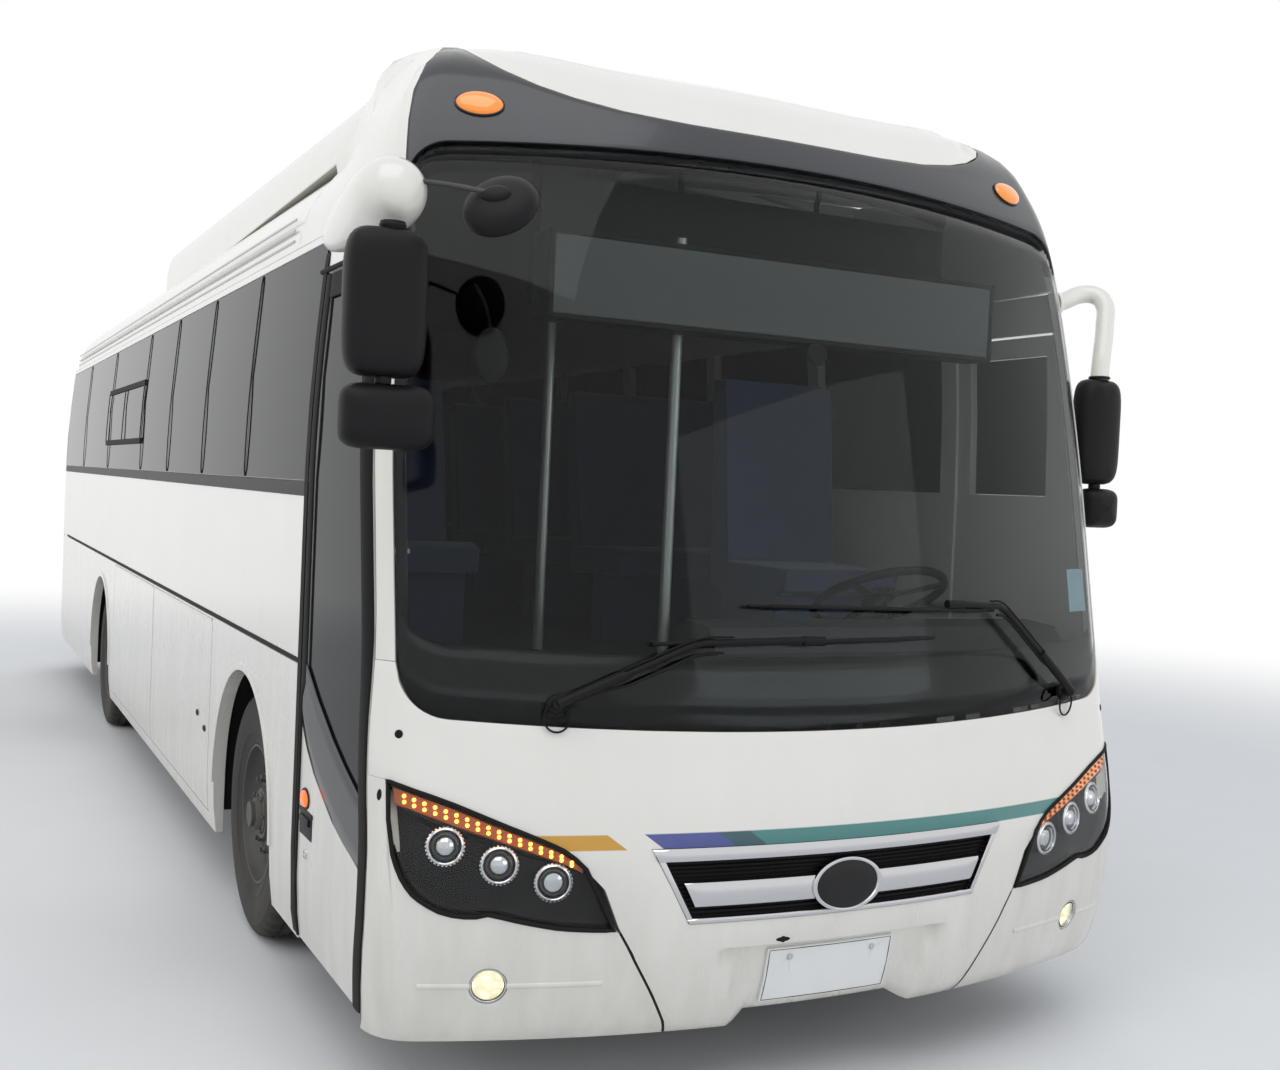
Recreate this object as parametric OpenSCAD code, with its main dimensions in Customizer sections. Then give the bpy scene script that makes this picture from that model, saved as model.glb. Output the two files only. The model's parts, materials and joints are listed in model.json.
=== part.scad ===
// Airport passenger bus, about 9.5 m long.
// Frame: millimetres, +Z up, ground at z = 0, front towards -Y, entrance door on the -X side.
// The origin is on the ground under the middle of the whole bus.
// Inside this file y is measured back from the foremost plane of the nose.

/* [Body] */
// Overall length of the bus
body_len = 9500; // [9000:100:10500]
// Width over the side walls
body_w = 2490; // [2400:10:2550]
// Height of the front roof crown above the ground
crown_z = 2985; // [2930:5:3060]
// Height of the roof edge line where the side wall turns into the roof
eave_z = 2400; // [2380:5:2430]
// Width that each side wall leans in between the waist and the roof edge
wall_lean = 45; // [20:5:70]
// Height of the lower edge of the side windows
waist_z = 1640; // [1560:10:1700]
// Height of the groove above the skirt panels
skirt_z = 1085; // [1060:5:1110]
// Height of the lower edge of the body
sill_z = 250; // [220:5:280]
// Thickness of the side walls
wall_t = 45; // [35:1:60]
// Thickness of the front, rear and roof shells
shell_t = 36; // [25:1:45]
// Thickness of the window glass
glass_t = 6; // [5:1:8]
// Width of the shut lines round doors, flaps and bumper corners
panel_gap = 8; // [6:1:10]
// Width of the hairline joints between fixed body panels
seam_gap = 0.8; // [0.6:0.1:1.2]
// Height of the passenger floor
floor_z = 1010; // [990:5:1030]

/* [Front] */
// Radius of the front in plan view
nose_r = 3300; // [2800:50:4200]
// Radius of the front corners in plan view
corner_r = 150; // [120:5:180]
// Place of the joint between the front cap and the roof
cap_y = 1560; // [1480:10:1700]
// Height of the lower edge of the windscreen at the middle
screen_z = 1022; // [1000:2:1050]
// Height of the upper edge of the windscreen at the middle
seam_z = 2625; // [2600:5:2650]
// Half width of the grille at its upper edge
grille_top_w = 580; // [520:10:600]
// Half width of the grille at its lower edge
grille_bottom_w = 469; // [420:5:500]
// Height of the lower edge of the grille
grille_z = 531; // [510:1:550]
// Height of the grille opening
grille_h = 202; // [180:2:220]

/* [Wheels] */
// Place of the front axle
front_axle_y = 1975; // [1930:5:2050]
// Distance between the axles
wheelbase = 4500; // [4200:50:4700]
// Outer diameter of a tyre
tyre_d = 870; // [820:2:890]
// Width of a tyre
tyre_w = 255; // [235:5:265]
// Diameter of the rim seat
rim_d = 495; // [480:5:510]
// Radius of the wheel arches
arch_r = 500; // [480:5:520]
// Distance from the tyre's outer face to the side of the body
wheel_inset = 48; // [40:2:60]
// Distance between the middles of twin tyres
twin_pitch = 300; // [290:2:320]
// Radius of a wheel hub's spindle
spindle_r = 45; // [38:1:50]
// Running clearance between a spindle and its wheel
spindle_gap = 0.08; // [0.02:0.01:0.1]
// Distance from a kingpin to the middle of its tyre
kingpin_offset = 134; // [128:2:150]
// Radius of a kingpin
kingpin_r = 24; // [20:1:28]

/* [Door] */
// Place of the rear edge of the door opening
door_rear_y = 1112; // [1090:2:1130]
// Height of the top of the door opening
door_top_z = 2260; // [2200:10:2280]
// Thickness of the door leaf
door_t = 38; // [30:1:42]
// Length of the arm that swings the door
door_arm_len = 560; // [520:10:580]

/* [Seats] */
// Distance between seat rows
seat_pitch = 800; // [760:10:860]
// Number of seat rows
seat_rows = 8; // [6:1:9]
// Width of a pair of seats
seat_pair_w = 880; // [820:10:900]

/* [Hidden] */

// Half width and the place of the origin
half_w = body_w / 2;
mid_y = body_len / 2;
rear_axle_y = front_axle_y + wheelbase;
wheel_r = tyre_d / 2;
// Roof section: shoulder arc, then a shallow crown
shoulder_r = 360;
eave_w = half_w - wall_lean;
shoulder_x = eave_w - shoulder_r;
roof_side_z = eave_z - 15;
roof_rise = 95;
// Raised middle of the roof
pod_w = 850;
pod_end_y = 5650;
// Small running and seating clearances
seat_gap = 0.3;
pane_gap = 4;

// Vector helpers
function lerp(a, b, t) = a + (b - a) * t;
function clamp(t, lo, hi) = min(hi, max(lo, t));
function ramp(t) = let (u = clamp(t, 0, 1)) u * u * (3 - 2 * u);

// Smooth curve through a table whose rows are [place, value, slope]
function curve_in(tab, z, k) =
    let (a = tab[k], b = tab[k + 1], h = b[0] - a[0], t = (z - a[0]) / h)
    (2 * t * t * t - 3 * t * t + 1) * a[1] + (t * t * t - 2 * t * t + t) * h * a[2]
    + (3 * t * t - 2 * t * t * t) * b[1] + (t * t * t - t * t) * h * b[2];
function curve_row(tab, z, k = 0) = k >= len(tab) - 2 || z < tab[k + 1][0] ? k : curve_row(tab, z, k + 1);
function curve(tab, z) =
    z <= tab[0][0] ? tab[0][1] + (z - tab[0][0]) * tab[0][2] : curve_in(tab, z, curve_row(tab, z));

// Set-back of the nose along the middle: columns are height, set-back, slope
nose_back = 10;
NOSE = [[sill_z - 50, 118, -1.3], [sill_z + 20, 60, -0.35], [650, nose_back, 0.0], [screen_z, 76, 0.2],
        [2000, 262, 0.2],
        [seam_z - 120, 380, 0.32], [seam_z + 95, 480, 0.62], [crown_z - 125, 590, 1.4],
        [crown_z - 20, 860, 4.0]];
// Half width of the front by height: columns are height, half width, slope
SIDE = [[sill_z - 50, half_w - 24, 0.16], [450, half_w, 0.0], [waist_z, half_w, 0.0],
        [eave_z, eave_w, -0.09], [crown_z - 285, eave_w - 40, -0.3],
        [crown_z - 125, eave_w - 125, -0.9], [crown_z - 25, eave_w - 260, -2.0]];
function nose_y(z) = curve(NOSE, z);
function side_x(z) = curve(SIDE, z);

// Plan outline of the front at height z, by the distance s along it from the middle:
// a wide arc, a corner arc and the straight side
function corner_turn(z, r) = asin((side_x(z) - corner_r) / (r - corner_r));
function corner_back(z, r) =
    r - sqrt(pow(r - corner_r, 2) - pow(side_x(z) - corner_r, 2));
function arc_end(z, r) = r * corner_turn(z, r) * PI / 180;
function corner_end(z, r) = arc_end(z, r) + corner_r * (90 - corner_turn(z, r)) * PI / 180;
function plan_half(s, z, r) =
    let (a = corner_turn(z, r), s1 = arc_end(z, r), s2 = corner_end(z, r))
    s <= s1 ? [r * sin(s / r * 180 / PI), r - r * cos(s / r * 180 / PI)]
    : s <= s2 ? let (b = a + (s - s1) / corner_r * 180 / PI)
        [side_x(z) - corner_r + corner_r * sin(b), corner_back(z, r) - corner_r * cos(b)]
    : [side_x(z), corner_back(z, r) + s - s2];
function front_pt(s, z) =
    let (p = plan_half(abs(s), z, nose_r)) [sign(s) * p[0], nose_y(z) + p[1], z];

// Edge lines of the front, as distances along the plan outline
glass_turn = 42;
function glass_edge(z) =
    arc_end(z, nose_r) + corner_r * (glass_turn - corner_turn(z, nose_r)) * PI / 180;
function seal_edge(z) = corner_end(z, nose_r) - 65 * ramp((z - 800) / 500);

// Point of the front that lies t behind its outer surface
function inset_pt(s, z, t) =
    let (a = front_pt(s + 1, z) - front_pt(s - 1, z), b = front_pt(s, z + 1) - front_pt(s, z - 1),
         c = cross(a, b))
    front_pt(s, z) - t * c / norm(c);

// Shell between two grids of points, g outside and q inside; cells go where keep() is false
module grid_shell(g, q, keep = function(i, j) true) {
    n = len(g) - 1;
    m = len(g[0]) - 1;
    w = m + 1;
    total = (n + 1) * w;
    has = function(i, j) i >= 0 && j >= 0 && i < n && j < m && keep(i, j);
    o = function(i, j) i * w + j;
    k = function(i, j) total + i * w + j;
    points = concat([for (c = g) each c], [for (c = q) each c]);
    faces = [for (i = [0:n - 1]) for (j = [0:m - 1]) if (has(i, j)) each concat(
        [[o(i, j), o(i, j + 1), o(i + 1, j + 1)], [o(i, j), o(i + 1, j + 1), o(i + 1, j)],
         [k(i, j), k(i + 1, j + 1), k(i, j + 1)], [k(i, j), k(i + 1, j), k(i + 1, j + 1)]],
        has(i - 1, j) ? [] : [[o(i, j), k(i, j), k(i, j + 1)], [o(i, j), k(i, j + 1), o(i, j + 1)]],
        has(i + 1, j) ? [] : [[o(i + 1, j), o(i + 1, j + 1), k(i + 1, j + 1)],
                              [o(i + 1, j), k(i + 1, j + 1), k(i + 1, j)]],
        has(i, j - 1) ? [] : [[o(i, j), o(i + 1, j), k(i + 1, j)], [o(i, j), k(i + 1, j), k(i, j)]],
        has(i, j + 1) ? [] : [[o(i + 1, j + 1), o(i, j + 1), k(i, j + 1)],
                              [o(i + 1, j + 1), k(i, j + 1), k(i + 1, j + 1)]])];
    polyhedron(points, faces, convexity = 4);
}
// Panel of the front: columns of [distance, height, set-back], with thickness t
module front_panel(cols, t, keep = function(i, j) true) {
    grid_shell([for (c = cols) [for (p = c) inset_pt(p[0], p[1], p[2])]],
               [for (c = cols) [for (p = c) inset_pt(p[0], p[1], p[2] + t)]], keep);
}
// Inner grid of a free surface, along its own normals, kept above z_min and between y0 and y1
function grid_normal(g, i, j) =
    let (n = len(g) - 1, m = len(g[0]) - 1,
         a = g[min(i + 1, n)][j] - g[max(i - 1, 0)][j],
         b = g[i][min(j + 1, m)] - g[i][max(j - 1, 0)], c = cross(a, b))
    c / norm(c);
function inner_grid(g, t, z_min, y0, y1) =
    [for (i = [0:len(g) - 1]) [for (j = [0:len(g[0]) - 1])
        let (p = g[i][j] - t * grid_normal(g, i, j)) [p[0], clamp(p[1], y0, y1), max(p[2], z_min)]]];
// Columns for both sides of the middle from those of the +X side
function both_halves(half) =
    concat([for (k = [len(half) - 1:-1:1]) [for (p = half[k]) [-p[0], p[1], p[2]]]], half);

// Body frame to part frame
module place() {
    translate([0, -mid_y, 0]) children();
}
// Both sides of the bus
module both() {
    children();
    mirror([1, 0, 0]) children();
}
// A profile in the x-z plane drawn out along +Y from y0 to y1
module along_y(y0, y1) {
    translate([0, y1, 0]) rotate([90, 0, 0]) linear_extrude(y1 - y0) children();
}
// A profile in the y-z plane drawn out along +X from x0 to x1
module along_x(x0, x1) {
    translate([x0, 0, 0]) rotate([90, 0, 90]) linear_extrude(x1 - x0) children();
}
// A box between two corners
module box(a, b) {
    translate(a) cube(b - a);
}
// Turns what stands along +Z to lie along d
module along(d) {
    rotate([0, acos(d[2] / norm(d)), atan2(d[1], d[0])]) children();
}
// A bar with a round section between two points
module rod(a, b, r) {
    translate(a) along(b - a) cylinder(r = r, h = norm(b - a), $fn = 32);
}

// Outlines on the front, as height over the distance s from the middle
shut_s = 741;
lamp_top_z = 671;
lamp_slope = 0.44;
lamp_outer_s = 1262;
function lamp_top(s) = lamp_top_z + lamp_slope * (min(s, lamp_outer_s) - shut_s);
edge_s = glass_edge(screen_z);
screen_corner = 130;
seam_corner = 120;
// Windscreen outline, widened by off all round
function screen_low(s, off) =
    let (r = screen_corner + off, c = edge_s - screen_corner)
    screen_z + 33 * pow(s / 1100, 2) - off + (s > c ? r - sqrt(max(0, r * r - pow(s - c, 2))) : 0);
function screen_high(s, off) =
    let (r = seam_corner + off, c = edge_s - seam_corner)
    seam_z - 40 * pow(s / 1100, 2) + off - (s > c ? r - sqrt(max(0, r * r - pow(s - c, 2))) : 0);
pillar_low_z = screen_low(edge_s + seam_gap, seam_gap);
eave_gap_z = eave_z - seam_gap;

// Distances of the columns that mask and windscreen share
PLATE_S = [0, 130, 236, 262, 370];
OUTER_S = [860, 980, 1060, 1110, 1150, 1180, 1205, edge_s];

SCREEN_S = concat([for (k = [0, 1, 3, 4]) PLATE_S[k]], [grille_top_w, shut_s], OUTER_S);

// Front mask. Rows below the lamps: height, grille edge, shut line
plate_top_z = sill_z + 190;
MASK_ROWS = [[sill_z - 30, 416, 483], [sill_z + 10, 420, 500], [sill_z + 90, 436, 545],
             [plate_top_z, 452, 606], [plate_top_z + 20, 456, 616], [grille_z, grille_bottom_w, 660],
             [grille_z + grille_h / 2, (grille_bottom_w + grille_top_w) / 2, 702],
             [grille_z + grille_h, grille_top_w, shut_s]];
lamp_row = len(MASK_ROWS) - 1;
mask_top_row = lamp_row + 4;
function shut_line(z) = let (k = curve_row(MASK_ROWS, z), a = MASK_ROWS[k], b = MASK_ROWS[k + 1])
    lerp(a[2], b[2], (z - a[0]) / (b[0] - a[0]));
// The plate sits in a shallow recess below the grille
recess_depth = 44;
function recess(k, j) = k <= 2 && j <= 3 ? recess_depth : 0;
function mask_low(k, j) =
    k < 5 ? [PLATE_S[k], MASK_ROWS[j][0]]
    : k == 5 ? [MASK_ROWS[j][1], MASK_ROWS[j][0]]
    : k == 6 ? [MASK_ROWS[j][2], j == lamp_row ? lamp_top(shut_s) : MASK_ROWS[j][0]]
    : [OUTER_S[k - 7], lamp_top(OUTER_S[k - 7])];
function mask_seal(z) = seal_edge(z) - panel_gap / 2;
mask_turn = 14;
mask_last = mask_turn + 3;
function mask_half_pt(k, j) =
    k > mask_turn ? let (z = lerp(lamp_top(lamp_outer_s), pillar_low_z, max(0, j - lamp_row) / 4))
        [lerp(edge_s + seam_gap, mask_seal(z), (k - mask_turn) / 3), z, 0]
    : j <= lamp_row ? let (p = mask_low(k, j)) [p[0], p[1], recess(k, j)]
    : let (p = mask_low(k, lamp_row), s = k == mask_turn ? edge_s + seam_gap : p[0])
        [s, lerp(p[1], screen_low(s, seam_gap) - (k > 10 ? 2 : 0), (j - lamp_row) / 4), 0];
function mask_keep(i, j) =
    let (k = i < mask_last ? mask_last - 1 - i : i - mask_last)
    j >= lamp_row || (k < 6 && !(k < 5 && j >= lamp_row - 2));
module front_mask() {
    half = [for (k = [0:mask_last]) [for (j = [0:mask_top_row]) mask_half_pt(k, j)]];
    color("ivory") place() difference() {
        front_panel(both_halves(half), shell_t, function(i, j) mask_keep(i, j));
        plate_holes();
    }
}

// Lower edge of the headlamp: distance, height, slope
LAMP_LOW = [[660, grille_z - 7, 0.1], [1000, 572, 0.2], [1120, 610, 0.5], [1205, 690, 1.6],
            [lamp_outer_s, 840, 4.0]];
LAMP_S = [660, 740, 830, 920, 1000, 1070, 1130, 1175, 1210, 1240, lamp_outer_s];
corner_low_z = MASK_ROWS[0][0];
CORNER_V = [0, 0.06, 0.14, 0.28, 0.46, 0.72, 1];
// Upper end of each column of a bumper corner: distance and height
function corner_top(k) =
    let (n = len(LAMP_S) - 1, z = lamp_top(lamp_outer_s) - seam_gap)
    k > n ? [lerp(lamp_outer_s + 4, mask_seal(z), (k - n) / 2), z]
    : k == n ? [lamp_outer_s + 4, z]
    : [LAMP_S[k] + panel_gap * (1 - k / n), curve(LAMP_LOW, LAMP_S[k]) - 2];
module corner_panel() {
    n = len(LAMP_S) + 1;
    cols = [for (k = [0:n]) let (top = corner_top(k)) [for (v = CORNER_V)
        let (z = lerp(corner_low_z, top[1], v), low_s = lerp(shut_line(z) + panel_gap, mask_seal(z), k / n),
             top_s = k == n ? mask_seal(z) : top[0])
        [k == 0 ? shut_line(z) + panel_gap : lerp(low_s, top_s, v), z, 0]]];
    difference() {
        front_panel(cols, shell_t);
        on_front(FOG[0], FOG[1], -shell_t - 20) cylinder(r = FOG[2] + seam_gap, h = shell_t + 60, $fn = 64);
    }
}
module bumper_corners() {
    color("ivory") place() both() corner_panel();
}

// Headlamp bowls, set back from the panels
lamp_recess = 40;
module headlamp_bowl() {
    last = len(LAMP_S) - 1;
    cols = [for (k = [0:last]) [for (v = [0, 0.5, 0.925, 0.95, 1]) let (
        low_s = LAMP_S[k] + (k == 0 ? panel_gap + 4 : k == last ? -2 : 0),
        top_s = lerp(shut_s + panel_gap + 4, lamp_outer_s - 2, (LAMP_S[k] - 660) / (lamp_outer_s - 660)),
        low_z = curve(LAMP_LOW, min(low_s, lamp_outer_s - 1)) + 3,
        top_z = lamp_top(top_s) - (LAMP_S[k] < 1150 ? seam_gap : 3))
        [lerp(low_s, top_s, v), lerp(low_z, top_z, v), v > 0.94 ? 6 : lamp_recess]]];
    front_panel(cols, 16);
}
module headlamps() {
    color("black") place() both() headlamp_bowl();
}

// Puts its children on the front at (s, z), their +Z along the outward normal
module on_front(s, z, out) {
    p = inset_pt(s, z, -out);
    n = inset_pt(s, z, -1) - inset_pt(s, z, 0);
    x = cross([0, 0, 1], n) / norm(cross([0, 0, 1], n));
    y = cross(n, x);
    multmatrix([[x[0], y[0], n[0], p[0]], [x[1], y[1], n[1], p[1]], [x[2], y[2], n[2], p[2]], [0, 0, 0, 1]])
        children();
}
// Round lamps: distance from the middle, height, radius, depth and how far the seat is set back
FOG = [985, 383, 49, 42, shell_t + 4];
LAMPS = [[835, 649, 47, 44, lamp_recess], [975, 695, 47, 44, lamp_recess],
         [1112, 742, 47, 44, lamp_recess], FOG];
module lamp_body(r, h) {
    rotate_extrude($fn = 48) polygon([[0, 0], [r * 0.8, 0], [r, h * 0.25], [r, h - 4], [r - 4, h],
                                      [r - 10, h], [r - 13, h - 5], [r * 0.4, h - 3], [0, h - 2]]);
}
module lamp_units() {
    color("silver") place() both() for (l = LAMPS)
        on_front(l[0], l[1], seat_gap - l[4]) lamp_body(l[2], l[3]);
}

// Grille: bright frame, middle bar and the dark mesh behind them
function grille_half(z) =
    lerp(grille_bottom_w, grille_top_w, (z - grille_z) / grille_h) - seam_gap - 0.1;
module grille_band(z0, z1, f0, f1, out, t, n = 8) {
    front_panel([for (k = [0:n]) [for (z = [z0, z1]) [lerp(f0, f1, k / n) * grille_half(z), z, -out]]], t);
}
module grille() {
    lo = grille_z + seam_gap;
    hi = grille_z + grille_h - seam_gap;
    color("gainsboro") place() {
        grille_band(hi - 34, hi, -1, 1, 4, 26, 12);
        grille_band(lo, lo + 16, -1, 1, 4, 26, 12);
        both() grille_band(lo + 15, hi - 33, 0.965, 1, 4, 26, 1);
        grille_band(lo + 48, lo + 112, -0.97, 0.97, nose_back, 24, 12);
        grille_band(lo + 15, hi - 33, -0.97, 0.97, -12, 8, 12);
    }
}

// Windscreen
module windscreen() {
    half = [for (s = SCREEN_S) [for (v = [0:0.1:1]) let (z = lerp(screen_low(s, 0), screen_high(s, 0), v))
            [s * glass_edge(z) / edge_s, z, 0]]];
    color([0.2, 0.25, 0.28, 0.5]) place() front_panel(both_halves(half), glass_t + 2);
}

// Pillars beside the windscreen, each with the header that runs back over the door or cab window
function side_s(y, z) = corner_end(z, nose_r) + y - nose_y(z) - corner_back(z, nose_r);
glass_high_z = screen_high(edge_s, 0);
PILLAR_ROWS = concat([pillar_low_z + seam_gap],
                     [for (v = [0.1:0.1:0.8]) lerp(screen_low(edge_s, 0), glass_high_z, v)],
                     [door_top_z + panel_gap, lerp(screen_low(edge_s, 0), glass_high_z, 0.9), eave_gap_z]);
function pillar_s(k, z) =
    k < 4 ? lerp(glass_edge(z) + seam_gap + 0.15, mask_seal(z), k / 3)
    : [corner_end(z, nose_r) + 20, side_s(820, z), side_s(door_rear_y - seam_gap, z)][k - 4];
module pillar() {
    front_panel([for (k = [0:6]) [for (z = PILLAR_ROWS) [pillar_s(k, z), z, 0]]], shell_t,
                function(i, j) i < 3 || j >= len(PILLAR_ROWS) - 3);
}
module a_pillars() {
    color("ivory") place() both() pillar();
}

// Brow above the windscreen, up to the lower edge of the pale crown
crown_edge_z = seam_z + 92;
crown_tip_z = crown_z - 60;
function brow_edge(z) = glass_edge(z) + seam_gap;
crown_end_s = brow_edge(crown_tip_z);
crown_tip_s = 930;
function crown_edge(s) = lerp(crown_edge_z, crown_tip_z, pow(min(s, crown_tip_s) / crown_tip_s, 3.6));
// Brow and cap have the windscreen's columns, as shares of its half width
CROWN_U = [for (s = SCREEN_S) s / edge_s];
BROW_V = [0, 0.2, 0.4, 0.6, 0.8, 1];
function crown_z_at(u) = crown_edge(u * crown_end_s);
brow_low_z = screen_high(edge_s + seam_gap, seam_gap);
module brow() {
    half = [for (u = CROWN_U) [for (v = BROW_V)
            let (z = lerp(screen_high(u * (edge_s + seam_gap), seam_gap), crown_z_at(u), v))
            [u * brow_edge(z), z, 0]]];
    color("dimgray") place() front_panel(both_halves(half), shell_t);
}

// Roof section, from the side wall up over the shoulder to the middle
function shoulder_pt(a, r = shoulder_r) = [shoulder_x + r * cos(a), roof_side_z + r * sin(a)];
shoulder_end = 76;
shoulder_top = shoulder_pt(shoulder_end);
function roof_arc(f) = [shoulder_top[0] * (1 - f), shoulder_top[1] + roof_rise * (1 - pow(1 - f, 2))];
function roof_half(t) = concat(
    [[side_x(eave_z) - t, t > 0 ? eave_z - 1 : eave_z]],
    [for (a = [8:8.5:shoulder_end]) shoulder_pt(a, shoulder_r - t)],
    [for (f = [0.2:0.2:1]) roof_arc(f) - [0, t]]);
ROOF_HALF = roof_half(0);
module outline(half) {
    n = len(half) - 1;
    polygon(concat(half, [for (k = [n - 1:-1:0]) [-half[k][0], half[k][1]]]));
}
module roof_section(t) {
    difference() {
        outline(ROOF_HALF);
        outline(roof_half(t));
    }
}

// Front cap: a free surface from the brow and pillars back to the roof with its raised middle
pod_foot = [pod_w + 25, 2738];
POD_HALF = [[0, crown_z - 2], [210, crown_z - 4], [400, crown_z - 10], [560, crown_z - 18],
            [680, crown_z - 32], [760, crown_z - 52], [815, crown_z - 78], [pod_w, crown_z - 115],
            [pod_w + 18, crown_z - 170], pod_foot];
function pod_pt(t) = let (k = min(floor(t), len(POD_HALF) - 2)) lerp(POD_HALF[k], POD_HALF[k + 1], t - k);
pod_cols = len(CROWN_U) - 1;
CAP_BACK = concat([for (k = [0:pod_cols]) pod_pt(k * (len(POD_HALF) - 1) / pod_cols)],
                  [for (a = [62, 50, 38, 26, 14]) shoulder_pt(a)], [[side_x(eave_z), eave_z]]);
function tangent_up(s, z) = let (d = front_pt(s, z + 1) - front_pt(s, z)) d / norm(d);
function tangent_back(s, z) = let (d = front_pt(s + 1, z) - front_pt(s, z)) d / norm(d);
cap_gap = 2.5;
// Front edge of the cap: point of the surface, the direction in which the cap leaves it, inner point
function cap_edge(s, z, t) = [front_pt(s, z), t, inset_pt(s, z, shell_t)];
function cap_front() = concat(
    [for (u = CROWN_U) if (u < 1)
     let (z = crown_z_at(u) + (u < 0.6 ? seam_gap : cap_gap), s = u * brow_edge(z))
     cap_edge(s, z, tangent_up(s, z))],
    [let (z = crown_tip_z + cap_gap, s = brow_edge(z) + cap_gap)
     cap_edge(s, z, (tangent_up(s, z) + tangent_back(s, z)) / 1.6)],
    [for (z = concat([for (v = [0.8, 0.6, 0.4, 0.2, 0]) lerp(brow_low_z, crown_tip_z, v)], [eave_z]))
     let (s = brow_edge(z) + (z > brow_low_z + 200 ? cap_gap : seam_gap))
     cap_edge(s, z, tangent_back(s, z))]);
function cap_pt(b, t, c, v) =
    let (k = norm([c[0], cap_y, c[1]] - b) / 3, reach = (side_x(b[2]) - b[0]) / max(t[0], 0.001),
         p1 = b + min(k, t[0] > 0.3 ? reach : k) * t, p3 = [c[0], cap_y, c[1]],
         p2 = p3 - [0, k, 0], u = 1 - v)
    u * u * u * b + 3 * u * u * v * p1 + 3 * u * v * v * p2 + v * v * v * p3;
CAP_FRONT = cap_front();
CAP_OUT = [for (k = [0:len(CAP_FRONT) - 1])
           [for (v = [0:0.125:1]) cap_pt(CAP_FRONT[k][0], CAP_FRONT[k][1], CAP_BACK[k], v)]];
CAP_IN = let (g = inner_grid(both_halves(CAP_OUT), shell_t, eave_z, 0, cap_y), n = len(CAP_OUT) - 1)
    [for (k = [0:n]) [for (j = [0:8])
        j > 0 ? g[n + k][j] : let (p = CAP_FRONT[k][2]) [p[0], p[1], max(p[2], eave_z)]]];
module front_cap() {
    color("ivory") place() grid_shell(both_halves(CAP_OUT), both_halves(CAP_IN));
}
module roof() {
    color("ivory") place() along_y(cap_y + seam_gap, rear_cap_y - seam_gap) roof_section(shell_t);
}
module roof_pod() {
    pod = [for (k = [pod_cols:-1:0]) CAP_BACK[k]];
    color("ivory") place() along_y(cap_y + seam_gap, pod_end_y) difference() {
        polygon(concat(pod, [for (k = [1:pod_cols]) [-CAP_BACK[k][0], CAP_BACK[k][1]]]));
        outline([for (p = ROOF_HALF) p + [0, seat_gap]]);
    }
}

// Side walls: the window band is set back so that the panes lie flush over it
rear_cap_y = body_len - 560;
band_top_z = eave_z - 28;
band_mid_z = 2000;
band_inset = glass_t + 2;
WINDOW_JOINTS = [door_rear_y + 46, 2080, 2980, 3925, 4860, 6370, 7850, body_len - 330];
pillar_w = 84;
window_low = 60;
window_high = 46;
wall_foot_z = 450;
WALL_Z = [sill_z, 350, wall_foot_z, skirt_z - 6, skirt_z, skirt_z + 6, waist_z - 2, waist_z, band_mid_z,
          band_top_z, band_top_z + 2, eave_gap_z];
function wall_inset(z) =
    abs(z - skirt_z) < 1 ? 7 : z >= waist_z && z <= band_top_z ? band_inset : 0;
function wall_inner_x(z) = z < wall_foot_z ? half_w - wall_t : side_x(z) - wall_t;
module wall_profile() {
    polygon(concat([for (z = WALL_Z) [side_x(z) - wall_inset(z), z]],
                   [for (k = [len(WALL_Z) - 1:-1:0]) [wall_inner_x(WALL_Z[k]), WALL_Z[k]]]));
}
// Rear end of the side walls, which follows the rear corner
function wall_end(z) =
    body_len - curve(REAR, z) - corner_back(z, rear_r) - seam_gap - (z < sill_z + 40 ? 3 : 0);
module behind_wall(off) {
    zs = concat([sill_z - 20], BUMPER_ROWS, REAR_ROWS);
    top = eave_z + 20;
    along_x(half_w - 300, half_w + 60)
        polygon(concat([for (z = zs) [wall_end(z) - off, z]],
                       [[wall_end(top) - off, top], [body_len + 50, top], [body_len + 50, sill_z - 20]]));
}
// Flaps over the luggage bay: places of their front and rear edges
FLAPS = [[2610, 4190], [4210, 5790]];
flap_low_z = sill_z + 60;
flap_high_z = skirt_z - 22;
flap_t = 30;
module wall_cuts() {
    far = half_w + 50;
    for (y = [front_axle_y, rear_axle_y])
        translate([half_w - 200, y, wheel_r + 15]) rotate([0, 90, 0]) cylinder(r = arch_r, h = 300, $fn = 96);
    for (y = [front_axle_y, rear_axle_y])
        box([half_w - 200, y - arch_r, -50], [far, y + arch_r, wheel_r + 15]);
    for (f = FLAPS)
        box([half_w - 200, f[0] - panel_gap, flap_low_z - panel_gap],
            [far, f[1] + panel_gap, flap_high_z + panel_gap]);
    for (k = [0:len(WINDOW_JOINTS) - 2])
        box([half_w - 300, WINDOW_JOINTS[k] + pillar_w / 2, waist_z + window_low],
            [far, WINDOW_JOINTS[k + 1] - pillar_w / 2, band_top_z - window_high]);
}
module side_wall() {
    difference() {
        along_y(door_rear_y, body_len) wall_profile();
        wall_cuts();
        behind_wall(0);
    }
    arch_lip();
}
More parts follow.
